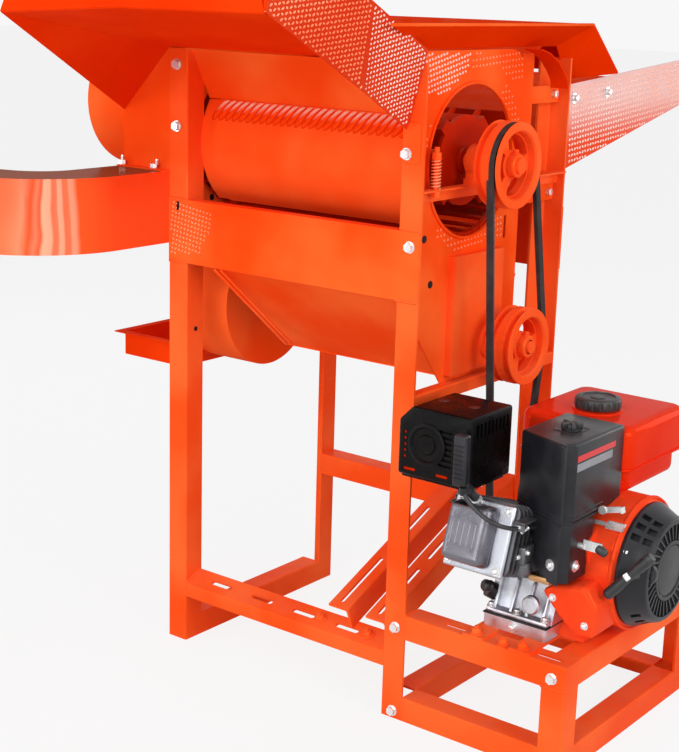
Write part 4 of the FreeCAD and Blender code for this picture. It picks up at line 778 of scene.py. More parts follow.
def make_lead():
    leave_alone()
    route = [(*LEAD_START, 440.7), (*LEAD_START, 424), (684, -68.4, 388), (684, 19.7, 376)]
    line = bpy.data.curves.new("ignition_lead_line", "CURVE")
    line.dimensions = "3D"
    line.bevel_depth = 3.4 * MM
    line.bevel_resolution = 5
    line.use_fill_caps = True
    run = line.splines.new("NURBS")
    run.points.add(len(route) - 1)
    for point, spot in zip(run.points, route):
        point.co = (*place(*spot), 1.0)
    run.order_u = 3
    run.use_endpoint_u = True
    run.resolution_u = 16
    lead = bpy.data.objects.new("spark_lead", line)
    bpy.context.scene.collection.objects.link(lead)
    line.materials.append(lead_rubber)
    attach(lead, "machine")
    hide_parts("ignition_lead")


# Tread plate: rows of small lens-shaped lugs, coloured with painted highlights

LUG_SIDES, LUG_RINGS = 8, 6
LUG_POINTS = LUG_SIDES * LUG_RINGS // 2 + 1
LUG_TURN = 42
LUG_KEEP_OFF = 2.6


def runs(outline):
    return zip(outline, outline[1:] + outline[:1])


def inside(outline, u, v):
    odd = False
    for (u0, v0), (u1, v1) in runs(outline):
        if (v0 > v) != (v1 > v) and u < u0 + (v - v0) * (u1 - u0) / (v1 - v0):
            odd = not odd
    return odd


def edge_distance(outline, u, v):
    least = math.inf
    for (u0, v0), (u1, v1) in runs(outline):
        du, dv = u1 - u0, v1 - v0
        share = max(0.0, min(1.0, ((u - u0) * du + (v - v0) * dv) / (du * du + dv * dv)))
        least = min(least, math.hypot(u - u0 - share * du, v - v0 - share * dv))
    return least


def lug_field(name, outlines, plate, pitch, slant, size, material=lug_highlight_paint):
    """Crossed lugs on a square grid over a flat plate, kept where an outline holds them."""
    points = [point for outline in outlines for point in outline]
    low_u, low_v = (min(point[k] for point in points) for k in (0, 1))
    high_u, high_v = (max(point[k] for point in points) for k in (0, 1))
    crossed = []
    for u, v, turn in ((0, 0, LUG_TURN), (pitch, pitch, LUG_TURN), (pitch, 0, -LUG_TURN),
                       (0, pitch, -LUG_TURN)):
        lug = half_ball(LUG_SIDES, LUG_RINGS, size)
        edit(lug)
        bpy.ops.transform.rotate(value=math.radians(turn), orient_axis="Z",
                                 center_override=(0, 0, 0))
        bpy.ops.transform.translate(value=(u * MM, v * MM, 0))
        leave()
        crossed.append(settle(lug))
    field = join_all(*crossed)
    reach = math.hypot(high_u - low_u, high_v - low_v)
    count = int(reach / pitch / 2) + 3
    in_row(field, (2 * pitch * MM, 0, 0), count)
    in_row(field, (0, 2 * pitch * MM, 0), count)
    corner = -reach / 2 - pitch
    field.matrix_world = (Matrix.Translation(step((low_u + high_u) / 2, (low_v + high_v) / 2, 0))
                          @ Matrix.Rotation(math.radians(slant), 4, "Z")
                          @ Matrix.Translation(step(corner, corner, 0)))
    settle(field)
    spots = [point.co / MM for point in field.data.vertices]
    kept = []
    for start in range(0, len(spots), LUG_POINTS):
        middle = sum(spots[start:start + LUG_POINTS], Vector()) / LUG_POINTS
        kept.append(any(inside(outline, middle.x, middle.y)
                        and edge_distance(outline, middle.x, middle.y) > LUG_KEEP_OFF
                        for outline in outlines))
    pick_points(field, lambda number: not kept[number // LUG_POINTS])
    bpy.ops.mesh.delete(type="VERT")
    leave()
    field.matrix_world = plate
    finish(field, name, material, smooth=60.0)


def plate_frame(origin, along):
    """Places on an upright plate (u along, v up, and out of it) made machine places."""
    along = Vector(along)
    return Matrix.Translation(origin) @ axes(along, Vector(UP), along.cross(Vector(UP)))


def on_drum(radius, degrees):
    """Depth and height of a point round the drum's axis."""
    angle = math.radians(degrees)
    return (DRUM_AXIS[0] + radius * math.cos(angle), DRUM_AXIS[1] + radius * math.sin(angle))


def round_window(low, high, start, end):
    """A strip between two angles round the drum's window, from it outwards."""
    steps = [start + (end - start) * k / 10 for k in range(11)]
    return [on_drum(high, a) for a in steps] + [on_drum(low, a) for a in reversed(steps)]


def make_tread():
    for name, x, hand in (("back_wing_tread_right", WING_RIGHT, 1),
                          ("back_wing_tread_left", WING_LEFT, -1)):
        outline = [(hand * y, z) for y, z in ((424, 853), (424, 992), (846, 1026), (846, 944))]
        lug_field(name, [outline], plate_frame(place(x, 0, 0), (0, hand, 0)), 9.0, hand * 5.0,
                  (3.2, 1.9, 1.4))
    plate = plate_frame(place(RIGHT_PLATE, 0, 0), (0, 1, 0))
    lug_field("end_plate_tread",
              [[(8, 1049), (8, 985), (80, 985), (110, 1000), (136, 1018), (150, 1049)]],
              plate, 7.6, 12.0, (2.8, 1.9, 1.3))
    lug_field("end_plate_tread_faint",
              [[(150, 1049), (140, 1022), (226, 1024), (262, 1000), (300, 1000), (304, 1046)],
               round_window(122, 150, -8, 52),
               round_window(122, 134, 150, 205),
               round_window(120, 142, 228, 300),
               [(222, 744), (222, 792), (262, 792), (262, 744)],
               [(240, 560), (240, 744), (258, 744), (258, 560)]],
              plate, 9.5, 4.0, (2.6, 1.6, 1.2), soft_lug_highlight_paint)
    lug_field("beam_tread", [[(-38, 690), (-38, 786), (62, 776), (56, 740), (30, 700)]],
              plate_frame(place(0, -2, 0), ALONG), 7.6, -8.0, (2.6, 1.3, 0.9), soft_lug_highlight_paint)


def make_front_wing():
    """Right front wing: a sheet creased from its upper to its lower edge, with lugs."""
    wall = 2.0
    rise = Vector((0.9628, -0.0373, -0.2679))
    low, high, front = place(440, -2, 938), place(472, -2, 1053), place(472, -361, 1103)
    crease_high = place(485, -165, 1122.5) + rise * 7 * MM
    crease_low = place(452.3, -140, 1001.5) + rise * 7 * MM
    far_out = (crease_high - crease_low).cross(front - crease_low).normalized()
    top, nose = [spot - rise * ((spot - crease_low).dot(far_out) / rise.dot(far_out))
                 for spot in (place(495.8, -300, 1180), place(482.3, -361, 1140))]
    corners = [low, high, crease_high, top, nose, front, crease_low]
    wing = plate_of(corners)
    creased = (corners.index(crease_high), corners.index(crease_low))
    pick_points(wing, lambda number: number in creased)
    bpy.ops.mesh.vert_connect()
    face_outwards()
    if wing.data.polygons[0].normal.x < 0:
        edit(wing)
        bpy.ops.mesh.flip_normals()
        leave()
    sheet = wing.modifiers.new("sheet", "SOLIDIFY")
    sheet.thickness = wall * MM
    sheet.offset = 1.0
    finish(apply(wing, sheet), "front_wing_sheet", tread_paint, smooth=20.0,
           shows="wing_front_right")
    finish(soften(block(435, 466, -2, -0.2, 888, 948), 0.6, 1), "front_wing_tab", frame_paint)
    for name, facet, slant, material in (
            ("front_wing_tread_near", [low, high, crease_high, crease_low], 12.0, lug_highlight_paint),
            ("front_wing_tread_far", [crease_low, crease_high, top, nose, front], 8.0,
             soft_lug_highlight_paint)):
        out = (facet[1] - facet[0]).cross(facet[2] - facet[0]).normalized()
        if out.x < 0:
            out = -out
        along = Vector((0, 1, 0))
        along = (along - out * along.dot(out)).normalized()
        up = out.cross(along)
        base = Matrix.Translation(facet[0] + out * wall * MM) @ axes(along, up, out)
        flat = [((corner - facet[0]).dot(along) / MM, (corner - facet[0]).dot(up) / MM)
                for corner in facet]
        lug_field(name, [flat], base, 7.2, slant, (2.7, 1.6, 1.3), material)


def make_rope_band():
    """Slanted ridges pressed into the upper part of the drum guard."""
    middle = 154.5
    band = half_ball(14, 8, (7.2, 22.0, 6.2), -0.8)
    out = Vector((0, math.cos(math.radians(middle)), math.sin(math.radians(middle))))
    along = Vector(ALONG)
    band.matrix_world = (Matrix.Translation(place(34, *on_drum(125.4, middle)))
                         @ axes(along, out.cross(along), out)
                         @ Matrix.Rotation(math.radians(-34), 4, "Z"))
    settle(band)
    finish(in_row(band, (14.6 * MM, 0, 0), 27), "guard_rope_ridges", ridge_paint, smooth=60.0)


# Drum and fan wheels: two V grooves, three kidney windows and a bolted hub

def make_wheel(name, node, body, axis, radius, window_reach):
    hub = 19
    spot = place(500.0, *axis)
    groove = radius - 11
    rim = turned([(radius, 1.0), (groove, 4.2), (groove, 8.8), (radius, 13.6), (radius, 26.0),
                  (groove, 29.4), (groove, 34.0), (radius, 38.6), (radius - 1.2, 40.0),
                  (radius - 13, 40.0), (radius - 15.5, 37.0), (radius - 17, 26.0),
                  (hub + 6, 24.5), (hub, 27.0), (hub - 1, 39.0), (hub - 3, 40.5), (12.0, 40.5),
                  (12.0, 39.0), (12.0, 0.5), (hub - 1, 0.5), (hub, 12.0), (hub + 6, 14.0),
                  (radius - 17, 13.0), (radius - 15.5, 3.0), (radius - 13, 0.0),
                  (radius - 1.2, 0.0), (radius, 1.0)], spot, ALONG, 72, ring=True)
    for k in range(3):
        cut_away(rim, kidney_cutter(spot + step(20, 0, 0), 23.0, window_reach, 30 + 120 * k, 88))
    edit(rim)
    bpy.ops.mesh.remove_doubles(threshold=0.05 * MM)
    bpy.ops.mesh.dissolve_degenerate(threshold=0.02 * MM)
    bpy.ops.mesh.select_all(action="DESELECT")
    bpy.ops.mesh.select_non_manifold()
    bpy.ops.mesh.fill_holes(sides=0)
    leave()
    finish(rim, name, pulley_paint, body, smooth=28.0, shows=node)
    finish(hex_bolt(spot + step(33, 0, hub - 1), UP, 8.0, 4.0, 5.0), name + "_screw",
           pulley_paint, body)


def kidney_cutter(spot, low, high, base, sweep):
    """A bent bar with rounded ends, between two radii round the wheel's axis."""
    leave_alone()
    bpy.ops.mesh.primitive_plane_add(size=1.0, location=(0, 0, (low + high) / 2 * MM),
                                     rotation=(math.radians(90), 0, 0))
    tool = bpy.context.object
    bpy.ops.transform.resize(value=(0.07, 1, (high - low) * MM))
    edit(settle(tool))
    bpy.ops.mesh.spin(steps=12, dupli=False, angle=math.radians(sweep), center=(0, 0, 0),
                      axis=ALONG)
    bpy.ops.mesh.select_all(action="SELECT")
    bpy.ops.mesh.remove_doubles(threshold=MERGE)
    face_outwards()
    tool.matrix_world = (Matrix.Translation(spot)
                         @ Matrix.Rotation(math.radians(base - 90 - sweep / 2), 4, "X"))
    return settle(tool)


# Engine pieces. The cylinder leans: its pieces are made level and turned about the crank.

def lean(thing):
    return swing(thing, place(0, *CRANK_AXIS), "X", CYLINDER_LEAN)


def make_recoil_cover():
    """Black starter cover: vented shoulder, raised ring with radial slots, plain middle."""
    x, y, z = RECOIL
    spot = place(x, y, z)
    shell = turned([(60, 0.0), (97, 0.0), (97.5, 5.0), (95, 9.0), (86, 27.0), (82, 39.0),
                    (79, 43.0), (75, 44.0), (72.5, 44.0), (71.5, 41.0), (48, 41.0), (47, 44.0),
                    (44, 44.6), (41.5, 44.0), (40.5, 42.0), (1.0, 42.0)], spot, ALONG, 96)
    for column in range(3):
        for reach, along in ((85.5, 31.5), (91.5, 14.5)):
            slot = block(x + along - 6.5, x + along + 6.5, y - 5.4, y + 5.4, z + reach - 5,
                         z + reach + 14)
            cut_away(shell, swing(slot, spot, "X", 21 + column * 12.5))
    for angle in (132, 146, 160, 210, 228, 246, -90, -72, -54, -36):
        slot = block(x + 17, x + 31, y - 4, y + 4, z + 82, z + 104)
        cut_away(shell, swing(slot, spot, "X", angle))
    vane = soften(block(x + 40.5, x + 43.6, y - 1.5, y + 1.5, z + 47.5, z + 72), 0.5, 1)
    swing(vane, spot + step(0, 0, 60), "X", 16)
    count = 34
    vane = repeat(vane, [about(spot, "X", k * 360 / count) for k in range(1, count)])
    floor = turned([(47.4, 40.9), (72, 40.9), (72, 41.3), (47.4, 41.3), (47.4, 40.9)], spot,
                   ALONG, 96, ring=True)
    boss = rod(32, 19, 13, spot + step(30, -52, 8),
               (0.1, -math.cos(STARTER_TILT), math.sin(STARTER_TILT)))
    finish([shell, vane, soften(boss, 2.5, 2)], "recoil_cover_shell", black_plastic,
           smooth=28.0, shows="recoil_cover")
    # A dark ring on the channel's floor: painted shade between the vanes.
    finish(floor, "recoil_channel_shade", hole_shade_paint)
    middle = turned([(39.5, 41.8), (39.0, 42.9), (37.5, 43.3), (0.5, 43.3)], spot, ALONG, 64)
    finish(middle, "recoil_middle_plate", lead_rubber)
    screws = repeat(hex_bolt(spot + step(5, 0, 91), ALONG, 8.0, 4.0, 6.0),
                    [about(spot, "X", 120), about(spot, "X", 240)])
    finish(swing(screws, spot, "X", 62), "recoil_cover_screws", zinc_steel)


def make_grip():
    """Ribbed T grip with a waist, the bright clip at its rope, and the taut starter line."""
    pull = Vector((0, -math.cos(STARTER_TILT), math.sin(STARTER_TILT)))
    start = place(RECOIL[0] + 30, *RECOIL[1:]) + pull * 112 * MM
    hang = (Matrix.Translation(start) @ Matrix.Rotation(-STARTER_TILT, 4, "X")
            @ Matrix.Rotation(math.radians(-50), 4, "Y"))
    half = [(1.0, -49.0), (6.5, -48.5), (8.6, -45.5), (8.9, -40.0), (8.2, -36.5), (8.9, -34.0),
            (8.2, -31.0), (8.9, -28.5), (8.2, -25.5), (8.6, -22.0), (7.6, -14.0)]
    profile = half + [(7.2, 0.0)] + [(radius, -height) for radius, height in reversed(half)]
    bar = join_all(turned(profile, Vector(), ALONG, 20),
                   turned([(7.8, -22.0), (7.0, -12.0), (6.6, 0.0)], Vector(), FRONTWARD, 20))
    bar.matrix_world = hang
    finish(bar, "starter_pull_grip", grip_plastic, "grip", smooth=40.0, shows="starter_grip")
    clip = soften(block(-4.5 - shift_x, 4.5 - shift_x, -9.4 - shift_y, -5.0 - shift_y, -5.5,
                        5.5), 1.4, 2)
    clip.matrix_world = hang
    finish(clip, "grip_rope_clip", zinc_steel, "grip", smooth=40.0)
    twist = [(1.7 if k % 2 else 2.2, 18.0 + 2.6 * k) for k in range(51)]
    finish(turned(twist, start, -pull, 12), "starter_line", grip_plastic, "grip", smooth=60.0)


def make_blower_trim():
    """Rolled rim round the blower housing's mouth."""
    rim = turned([(101.5, 83.0), (104.6, 82.0), (105.8, 79.0), (105.0, 76.0), (103.6, 75.0),
                  (101.0, 77.0), (101.5, 83.0)], place(BLOWER_START, *RECOIL[1:]), ALONG, 96,
                 ring=True)
    cut_away(rim, block(690, 790, 80, 300, 150, 186.0))
    finish(rim, "blower_rim", blower_paint)


def make_shroud_side():
    """Lower side of the blower's shroud, bolted in front of the crankcase."""
    front = 47
    outline = [(685, 268), (704, 282), (758, 292), (780, 262), (776, 214), (748, 208),
               (716, 234)]
    side = plate_of([place(x, front, z) for x, z in outline], step(0, 75, 0))
    finish(soften(side, 7.0, 4, 25), "blower_lower_side", blower_paint, smooth=60.0)
    finish([hex_bolt(place(x, front, z), FRONTWARD, 8.0, 4.0, 6.0)
            for x, z in ((706, 262), (762, 232))], "blower_side_bolts", zinc_steel)


def make_air_cleaner():
    """Tall black cleaner: bevelled near corner, three bands at its waist, bolted foot."""
    x0, x1, y0, y1 = 636.0, 738.0, 13.0, 178.0

    def bevelled(part, front, corner_start, corner_x, corner_y, low, high):
        """The slanted front and the flattened near edge of one of its parts."""
        slope = block(x0 - 60, x1 + 40, y0 - 60, front, low, high)
        cut_away(part, swing(slope, place(x1 - 10, front, 0), "Z", -20.5))
        corner = block(corner_start, x1 + 20, y0 - 30, y0 + 12, low, high)
        cut_away(part, swing(corner, place(corner_x, corner_y, 0), "Z", 38))
        return part

    body = block(x0, x1, y0, y1, 390, 506.5)
    inset(body, UP, 3.0, 3.5)
    bevelled(body, y0, x1 - 10, x1 - 10, y0 + 6, 370, 530)
    low = block(x0, x1 - 2, y0 + 1, y0 + 88, 295, 391)
    bevelled(low, y0 + 1, x1 - 12, x1 - 11, y0 + 6, 290, 400)
    parts = [soften(body, 2.6, 3, 25), soften(low, 2.6, 3, 25)]
    for height in (386, 392.5, 399):
        band = block(x0 - 1, x1 + 0.6, y0 - 0.6, y1 - 55, height, height + 3.2)
        bevelled(band, y0 - 0.6, x1 - 10, x1 - 9.2, y0 + 5.4, 370, 430)
        parts.append(soften(band, 0.8, 1, 25))
    finish(parts, "air_cleaner_case", black_plastic, smooth=30.0, shows="air_cleaner")
    seat = block(672, 712, 76, 116, 509.4, 511.2)
    inset(seat, UP, 3.0, -1.2)
    finish(soften(seat, 0.5, 1), "air_cleaner_knob_seat", grip_plastic)
    knob_spot = place(692, 96, 510.5)
    knob = turned([(15, 0.0), (15, 2.0), (9, 3.5), (8, 9.0), (6.5, 10.0), (0.5, 10.2)],
                  knob_spot, UP, 32)
    wing = repeat(soften(block(692 - 2.6, 692 + 2.6, 96, 96 + 17, 511.5, 522), 1.6, 2),
                  [about(knob_spot, "Z", 72 * k) for k in range(1, 5)])
    finish([knob, wing], "air_cleaner_knob", grip_plastic)
    finish([hex_bolt(place(714, 18.8, 324), (-0.35, -0.94, 0), 9.0, 4.0, 9.0),
            hex_bolt(place(735.8, 52, 318), ALONG, 9.0, 4.0, 9.0)], "air_cleaner_bolts",
           zinc_steel)
    for name, material, low, high, end in (("air_cleaner_red_band", red_stripe, 482, 491, 150),
                                           ("air_cleaner_grey_band", grey_stripe, 467, 479,
                                            142)):
        band = block(x1, x1 + 0.5, 36, end, low, high)
        inset(band, ALONG, 0.6, 0.1)
        finish(band, name, material)


def make_muffler():
    """Black guard box of the muffler: chamfered, louvred, with a round pressed dish in front."""
    x0, x1, y0, y1, z0, z1 = 477.0, 607.0, -44.0, 68.0, 429.0, 538.0
    case = block(x0, x1, y0, y1, z0, z1)
    wedge = block(x0 - 60, x0, y0 - 20, y1 + 20, z1 - 90, z1 + 30)
    cut_away(case, swing(wedge, place(x0, 0, z1 - 24), "Y", 45))
    soften(case, 4.5, 3, 25)
    hole_heights = [z1 - 42 - k * 9.5 for k in range(5)]
    slot_starts = (x0 + 10, x0 + 68)
    for z in hole_heights:
        cut_away(case, rod(12, 2.6, 14, place(x0 + 12, y0 - 6, z), (0, 1, 0)))
    for x in slot_starts:
        cut_away(case, block(x, x + 22, y0 - 5, y0 + 5, z0 + 8, z0 + 13))
    for k in range(9):
        slot = block(x1 - 5, x1 + 6, y0 + 13 + k * 10.2, y0 + 18 + k * 10.2, z1 - 33, z1 - 12)
        cut_away(case, soften(slot, 1.2, 1))
    for k in range(7):
        cut_away(case, block(x0 + 74, x0 + 96, y0 - 5, y0 + 4, z0 + 26 + k * 8.6,
                             z0 + 30 + k * 8.6))
    dish = turned([(33, -4.0), (33, 2.0), (30.5, 3.2), (27, 3.2), (25, 0.8), (16, 0.4),
                   (14, 2.8), (10, 3.2), (0.5, 3.2)], place(x0 + 52, y0, z0 + 54), FRONTWARD, 48)
    low = soften(block(x0 + 4, x1 - 6, y0 + 6, y1 - 6, z0 - 5, z0 + 1), 2, 2)
    finish([case, dish, low], "muffler_guard", muffler_steel, smooth=28.0, shows="muffler")
    # Dim orange floors in the front holes and slots: a painted reflection of orange light seen in
    # the openings.
    finish([rod(12, 2.6, 0.6, place(x0 + 12, y0 + 2.2, z), (0, 1, 0)) for z in hole_heights]
           + [block(x, x + 22, y0 + 2.4, y0 + 3.2, z0 + 8, z0 + 13) for x in slot_starts],
           "muffler_opening_reflection", shaded_rotor_paint)
    finish([turned([(9, 0.0), (8.5, -1.2), (5.5, -1.6), (5, 0.6), (0.5, 0.8)],
                   place(x, 12, z1 + 0.2), UP, 24) for x in (x0 + 42, x0 + 96)],
           "muffler_top_screws", dark_steel)
    middle = (y0 + y1) / 2
    stub = turned([(14, 0.0), (14, -30.0), (17, -32.0), (17, -38.0)],
                  place(x1 - 40, middle, z0 + 2), UP, 32)
    flange = block(x1 - 58, x1 - 12, middle - 18, middle + 18, z0 - 42, z0 - 36)
    finish([stub, soften(flange, 3, 2)], "exhaust_stub", dark_steel)


def make_valve_cover():
    """Cast cover on the cylinder's end: bolted flange and a domed lid with upright grooves."""
    middle, flat, height = 618.0, -27.2, CRANK_AXIS[1]
    flange = block(middle - 55, middle + 48, flat - 7.5, flat, height - 57, height + 52)
    finish(lean(soften(flange, 16.0, 5, 80)), "valve_cover_flange", bright_metal, smooth=30.0)
    lid = block(middle - 51, middle + 26, flat - 36, flat - 6, height - 50, height + 46)
    pick(lid, FRONTWARD)
    bpy.ops.transform.resize(value=(0.86, 1, 0.88),
                             center_override=place(middle - 14, flat, height))
    leave()
    soften(lid, 9.0, 4, 30)
    for k in range(5):
        cut_away(lid, rod(10, 2.2, 34, place(middle - 34 + k * 10, flat - 37.0, height - 21)))
    finish(lean(lid), "valve_cover_lid", cover_metal, smooth=30.0, shows="valve_cover")
    finish([lean(hex_bolt(place(x, flat - 6.5, z), FRONTWARD, 8.0, 5.0, 6.5))
            for x in (middle - 45, middle + 38) for z in (height - 47, height + 42)],
           "valve_cover_bolts", zinc_steel)
    seal = block(middle - 53, middle + 46, flat - 0.4, flat + 1.6, height - 55, height + 50)
    finish(lean(soften(seal, 12.0, 4, 80)), "valve_cover_gasket", gasket_black)


def make_fuel_tank():
    """Pressed tank: two halves meeting in a welded seam, a foot, a neck and a cap ring."""
    x0, x1, y0, y1, z0 = 553.0, 748.0, 174.0, 380.0, 394.0
    split = z0 + 0.4 * (TANK_TOP - z0)
    upper = block(x0, x1, y0, y1, split, TANK_TOP)
    round_off(upper, UP, 26, 7)
    round_off(upper, UP, 15, 5, "FACE")
    lower = block(x0 + 10, x1 - 10, y0 + 10, y1 - 10, z0, split)
    round_off(lower, UP, 24, 7)
    round_off(lower, DOWN, 12, 4, "FACE")
    seam = block(x0 - 3, x1 + 3, y0 - 3, y1 + 3, split - 3.2, split)
    round_off(seam, UP, 27, 7)
    soften(seam, 0.9, 2, 40)
    foot = soften(block(625, 697, 230, 270, 348, 396), 3, 2)
    neck = turned([(33, -2.0), (31, 2.5), (29.5, 5.0), (29.5, 8.0)], place(*FILLER, TANK_TOP),
                  UP, 48)
    finish([upper, lower, seam, foot, neck], "fuel_tank_shell", tank_paint, shows="fuel_tank")
    ring = turned([(40.5, 0.0), (40.5, 1.4), (38.5, 2.4), (33.0, 2.4)], place(*FILLER, TANK_TOP))
    finish(ring, "filler_ring", tank_paint)


def make_fuel_cap():
    """Scalloped filler cap with a raised ring."""
    spot = place(*FILLER, TANK_TOP + 5)
    cap = turned([(36.5, 0.0), (36.8, 2.0), (36.8, 11.0), (35.0, 15.0), (31.0, 16.6),
                  (27.5, 16.8), (26.5, 15.0), (13, 14.6), (11.5, 16.2), (0.5, 16.6)], spot, UP,
                 96)
    count = 20
    for k in range(count):
        tool = rod(12, 3.6, 30, spot + step(38.8, 0, -2))
        cut_away(cap, swing(tool, spot, "Z", k * 360 / count))
    finish(cap, "filler_cap", grip_plastic, "cap", smooth=30.0, shows="fuel_cap")


def make_spark_plug():
    """Upright moulded plug cap with side ribs and its boot, the lead's collar, and the plug."""
    head = soften(block(593, 615, -72, -56, 441, 519), 4.0, 4, 40)
    rib = soften(block(596, 612, -73.6, -70, 452, 454.6), 0.8, 1)
    rib = repeat(rib, [Matrix.Translation(step(0, 0, 7 * k)) for k in range(1, 8)])
    start = place(604, -60, 446)
    way = place(*PLUG_SEAT) - start
    boot = turned([(8.4, -4.0), (8.4, 6.0), (7.2, 9.0), (7.2, 20.0), (8.4, 22.0), (8.4, 28.0),
                   (7.0, 30.0), (7.0, way.length / MM)], start, way, 24)
    finish([head, rib, boot], "spark_plug_cap", black_plastic, shows="spark_cap")
    finish(turned([(3.6, 0.0), (4.8, 0.6), (5.6, 5.0), (6.0, 12.0)], place(*LEAD_START, 429.5),
                  UP, 20), "lead_collar", black_plastic)
    plug = turned([(6.0, 0.0), (6.0, 2.0), (8.6, 2.6), (8.6, 8.0), (7.0, 9.0), (7.0, 15.0)],
                  place(*PLUG_SEAT), place(604, -10, 402) - place(*PLUG_SEAT), 12)
    finish(plug, "spark_plug_body", zinc_steel)


# Frame details: weld beads, painted nuts and studs

def weld_bead(start, end, size=2.3):
    """A run of overlapping drops of weld between two points."""
    first = place(*start)
    way = place(*end) - first
    leave_alone()
    bpy.ops.mesh.primitive_uv_sphere_add(segments=8, ring_count=6, radius=size * MM,
                                         location=first)
    drop = bpy.context.object
    edit(drop)
    bpy.ops.transform.resize(value=(1.0, 1.0, 0.9), center_override=first)
    leave()
    stride = way.normalized() * size * 0.85 * MM
    return in_row(settle(drop), stride, max(2, int(way.length / stride.length)))


def make_welds():
    rail_joints = [joint for x in (432, 0)
                   for joint in (((x, 1, 86), (x, 1, 108)), ((x, 2, 110), (x, 34, 125)))]
    bed_joints = [((472, 0.5, 142), (472, 0.5, 179)), ((472, 2, 180.5), (472, 37, 180.5)),
                  ((722, 0.5, 140), (760, 0.5, 140)), ((472, 0.5, 3), (472, 0.5, 36))]
    beam_joints = [((-38, -1.5, 682), (0, -1.5, 682)), ((432, -1.5, 682), (470, -1.5, 682)),
                   ((-38, -1.5, 788), (0, -1.5, 788))]
    fan_joints = [((-40, 60, 712), (-40, 250, 712)), ((-147, 1, 714), (-147, 1, 830))]
    finish([weld_bead(start, end) for start, end in
            rail_joints + bed_joints + beam_joints + fan_joints], "frame_weld_beads",
           frame_paint, smooth=60.0)


def make_cone_nuts():
    """Painted cone nuts with washers on the slotted rails."""
    shape = [(10.5, 0.0), (10.5, 1.6), (7.4, 2.0), (7.2, 6.5), (5.6, 9.0), (3.4, 9.6),
             (3.2, 13.0), (0.4, 13.4)]
    rail_tilt = math.radians(26)
    tilted = (0, -math.sin(rail_tilt), math.cos(rail_tilt))
    spots = [((x, y, 184.2), UP) for x in (598, 680) for y in (11.5, 408.5)]
    spots += [((646, 12, 180.2), UP), ((291, 18.5, 118.3), tilted), ((389, 18.5, 118.3), tilted)]
    finish([turned(shape, place(*spot), axis, 20) for spot, axis in spots],
           "painted_cone_nuts", frame_paint, smooth=30.0)


def threads(low, high, count):
    """Radii and heights of turns a millimetre apart."""
    return [(high if k % 2 else low, float(k)) for k in range(1, count)]


def make_studs():
    """Threaded studs over the chute's nuts, and the bolts of the back wing."""
    finish([turned([(2.6, 0.0)] + threads(2.5, 2.9, 9) + [(2.2, 9.5)], place(x, -9, 841.5), UP,
                   14) for x in (-142, -61)]
           + [hex_bolt(place(WING_RIGHT, y, z), ALONG, 11.0, 6.0, 9.0)
              for y, z in ((433, 969), (547, 975))], "stud_ends", zinc_steel)


def make_edges():
    """Rolled edges and folds of the front tray, the hopper's rims and the trough."""
    finish(hem((-28, -360, 1133), (471, -360, 1133), 2.0), "front_lip_hem", shaded_tray_paint,
           smooth=60.0)
    outline = [(424, 1131), (471, 1104), (483, 1141), (480, 1149), (462, 1147), (440, 1139)]
    gusset = plate_of([place(x, -361, z) for x, z in outline], step(0, 2, 0))
    finish(soften(gusset, 0.6, 1), "front_corner_gusset", shaded_tray_paint)
    finish([hem((x, -130, 1089), (x, 433, 1089), 2.4) for x in (500, -68)],
           "hopper_rim_hems", sheet_paint, smooth=60.0)
    finish([hem((x, 0, 680), (x + 55, 124, 542), radius) for x, radius in ((62, 3.0), (76, 2.0))],
           "trough_edge_folds", frame_paint, smooth=60.0)


def make_rim_ends():
    """Curled ends of the hopper's rims above the back posts, and the end plate's strip."""
    shape = [(296, 1051), (323, 1045), (350, 1032), (370, 1016), (383, 1002), (388, 988)]
    outline = shape + [(y - 1.4, z - 1.6) for y, z in reversed(shape)]
    for name, x in (("rim_end_right", 454.0), ("rim_end_left", -54.0)):
        curl = plate_of([place(x, y, z) for y, z in outline], step(32, 0, 0))
        finish(curl, name, shaded_hood_paint, smooth=50.0)
    finish(soften(block(449.4, 451.2, 300, 334, 905, 1043), 0.6, 1), "end_plate_strip",
           sheet_paint)


def make_window_rim():
    """Turned-out rim round the window of the right end plate."""
    rim = turned([(117.0, 0.0), (117.0, 3.2), (118.2, 4.4), (120.2, 4.4), (121.4, 3.2),
                  (121.4, 0.0), (117.0, 0.0)], place(451.8, *DRUM_AXIS), ALONG, 96, ring=True)
    finish(rim, "end_plate_window_rim", sheet_paint, smooth=40.0)


def make_plate_marks():
    """Dark discs and strips on the end plates and the beam: painted shade standing for the depths
    of bolt holes and slots.
    """
    holes = [rod(20, radius, 1.0, place(x, y, z), ALONG) for radius, x, y, z in (
        (6.0, 451.6, 39, 772), (6.0, 451.6, 60, 700), (5.5, -18.6, 80, 784),
        (5.5, -18.6, 45, 819), (4.0, -0.4, 22, 566))]
    slots = [soften(block(451.7, 452.5, 231, 238, 720, 768), 0.2, 1),
             block(-22, -16, -2.6, -1.8, 770, 784)]
    finish(holes + slots, "plate_hole_shade_marks", hole_shade_paint)


# Small engine parts

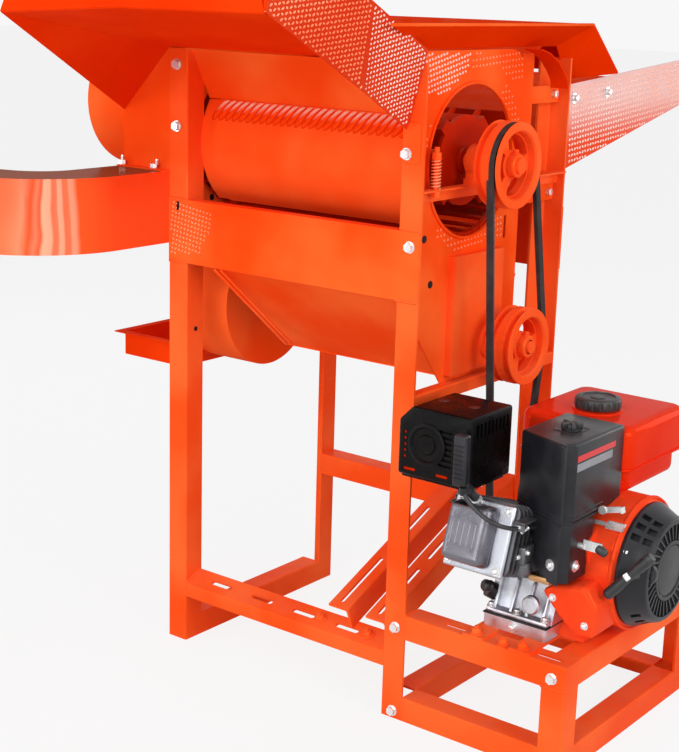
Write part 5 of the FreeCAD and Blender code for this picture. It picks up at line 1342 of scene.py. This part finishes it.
def make_carburettor():
    """Cast body, bowl, brass-coloured spacer and screws between cylinder and cleaner."""
    body = soften(block(660, 680, 0, 30, 318, 346), 3.0, 3)
    flange = soften(block(658, 663, -4, 34, 320, 342), 5.0, 3, 40)
    bowl = turned([(11, 0.0), (13, -2.0), (13, -15.0), (11, -19.0), (4, -20.0), (4, -24.0)],
                  place(670, 15, 319), UP, 32)
    bracket = soften(block(672, 690, -22, 14, 388, 392), 1.0, 1)
    wing = soften(block(672, 690, -22, -19, 378, 391), 1.0, 1)
    rib = block(662, 678, 28, 40, 326, 332)
    # The cast body takes the darkened fin aluminium: painted shade.
    finish([body, flange, bowl, bracket, wing, rib], "carburettor_body", shaded_fin_metal)
    finish(soften(block(676, 712, 22, 44, 289, 299.5), 2.0, 2), "brass_spacer", brass_metal)
    finish([hex_bolt(place(*spot), axis, 6.0, 3.0, 4.0) for spot, axis in (
        ((680, 6, 338), ALONG), ((681, -22, 384), FRONTWARD), ((670, 0, 330), FRONTWARD))],
           "carburettor_screws", zinc_steel)
    finish(turned([(3.0, 0.0)] + threads(2.6, 3.4, 14) + [(3.0, 14.0)], place(680, -14, 374),
                  (0.5, 0.6, 0.6), 14), "governor_spring", zinc_steel)


def make_case_casting():
    """Ribs, joint line, drain bolt and second filler plug of the crankcase."""
    finish(soften(block(584.2, 697.8, 48.2, 245.8, 204.0, 206.4), 0.8, 1), "sump_gasket",
           gasket_black)
    upper = soften(block(587, 696, 51, 244, 206.4, 214), 3.0, 2)
    ribs = []
    for x in (600, 628, 656, 684):
        rib = block(x - 2.5, x + 2.5, 56, 96, 212, 262)
        push(rib, UP, step(0, 22, 0))
        ribs.append(soften(rib, 1.2, 2))
    boss = turned([(15, 0.0), (15, 6.0), (12, 9.0), (0.5, 9.0)], place(668, 54, 238),
                  FRONTWARD, 32)
    finish([upper, boss, *ribs], "crankcase_ribs", cast_metal)
    finish([hex_bolt(place(x, 58, 214), UP, 9.0, 5.0, 7.0) for x in (594, 640, 689)]
           + [hex_bolt(place(640, 49, 194), FRONTWARD, 11.0, 6.0, 8.5)], "crankcase_bolts",
           zinc_steel)
    plug = turned([(9, 0.0), (9.5, 3.0), (8.6, 5.0), (9.5, 7.0), (9.5, 12.0), (7.0, 15.0),
                   (0.5, 15.5)], place(600, 44, 252), (-0.55, -0.8, 0.25), 24)
    finish(plug, "second_oil_plug", grip_plastic)


def make_lever_details():
    """Folded plate under the throttle arm, and the dark knob of the choke."""
    fold = block(751, 781, 107.5, 109.3, 366, 380)
    push(fold, UP, step(6, 0, 0))
    finish([soften(fold, 0.8, 1), block(734, 754, 107.5, 110, 370, 376)],
           "throttle_stop_plate", zinc_steel)
    low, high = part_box("choke_lever")
    knob = turned([(5.0, -2.0), (7.0, 0.0), (7.4, 5.0), (6.4, 12.0), (4.5, 15.0), (0.5, 15.5)],
                  Vector((high.x - 6 * MM, (low.y + high.y) / 2, high.z - 8 * MM)),
                  (1, 0, -0.5), 20)
    finish(knob, "choke_knob", grip_plastic, "choke")


make_camera()
make_lead()
dress_nodes()
make_surround()
make_floor()
make_lamps()
make_tread()
make_front_wing()
make_rope_band()
make_wheel("drum_wheel", "drum_pulley", "drum", DRUM_AXIS, 66.5, 47.5)
make_wheel("fan_drive_wheel", "fan_pulley", "fan", FAN_AXIS, 62.0, 43.0)
make_recoil_cover()
make_grip()
make_blower_trim()
make_air_cleaner()
make_muffler()
make_valve_cover()
make_fuel_tank()
make_fuel_cap()
make_welds()
make_cone_nuts()
make_studs()
make_edges()
make_rim_ends()
make_window_rim()
make_plate_marks()
make_carburettor()
make_case_casting()
make_lever_details()
make_shroud_side()
make_spark_plug()
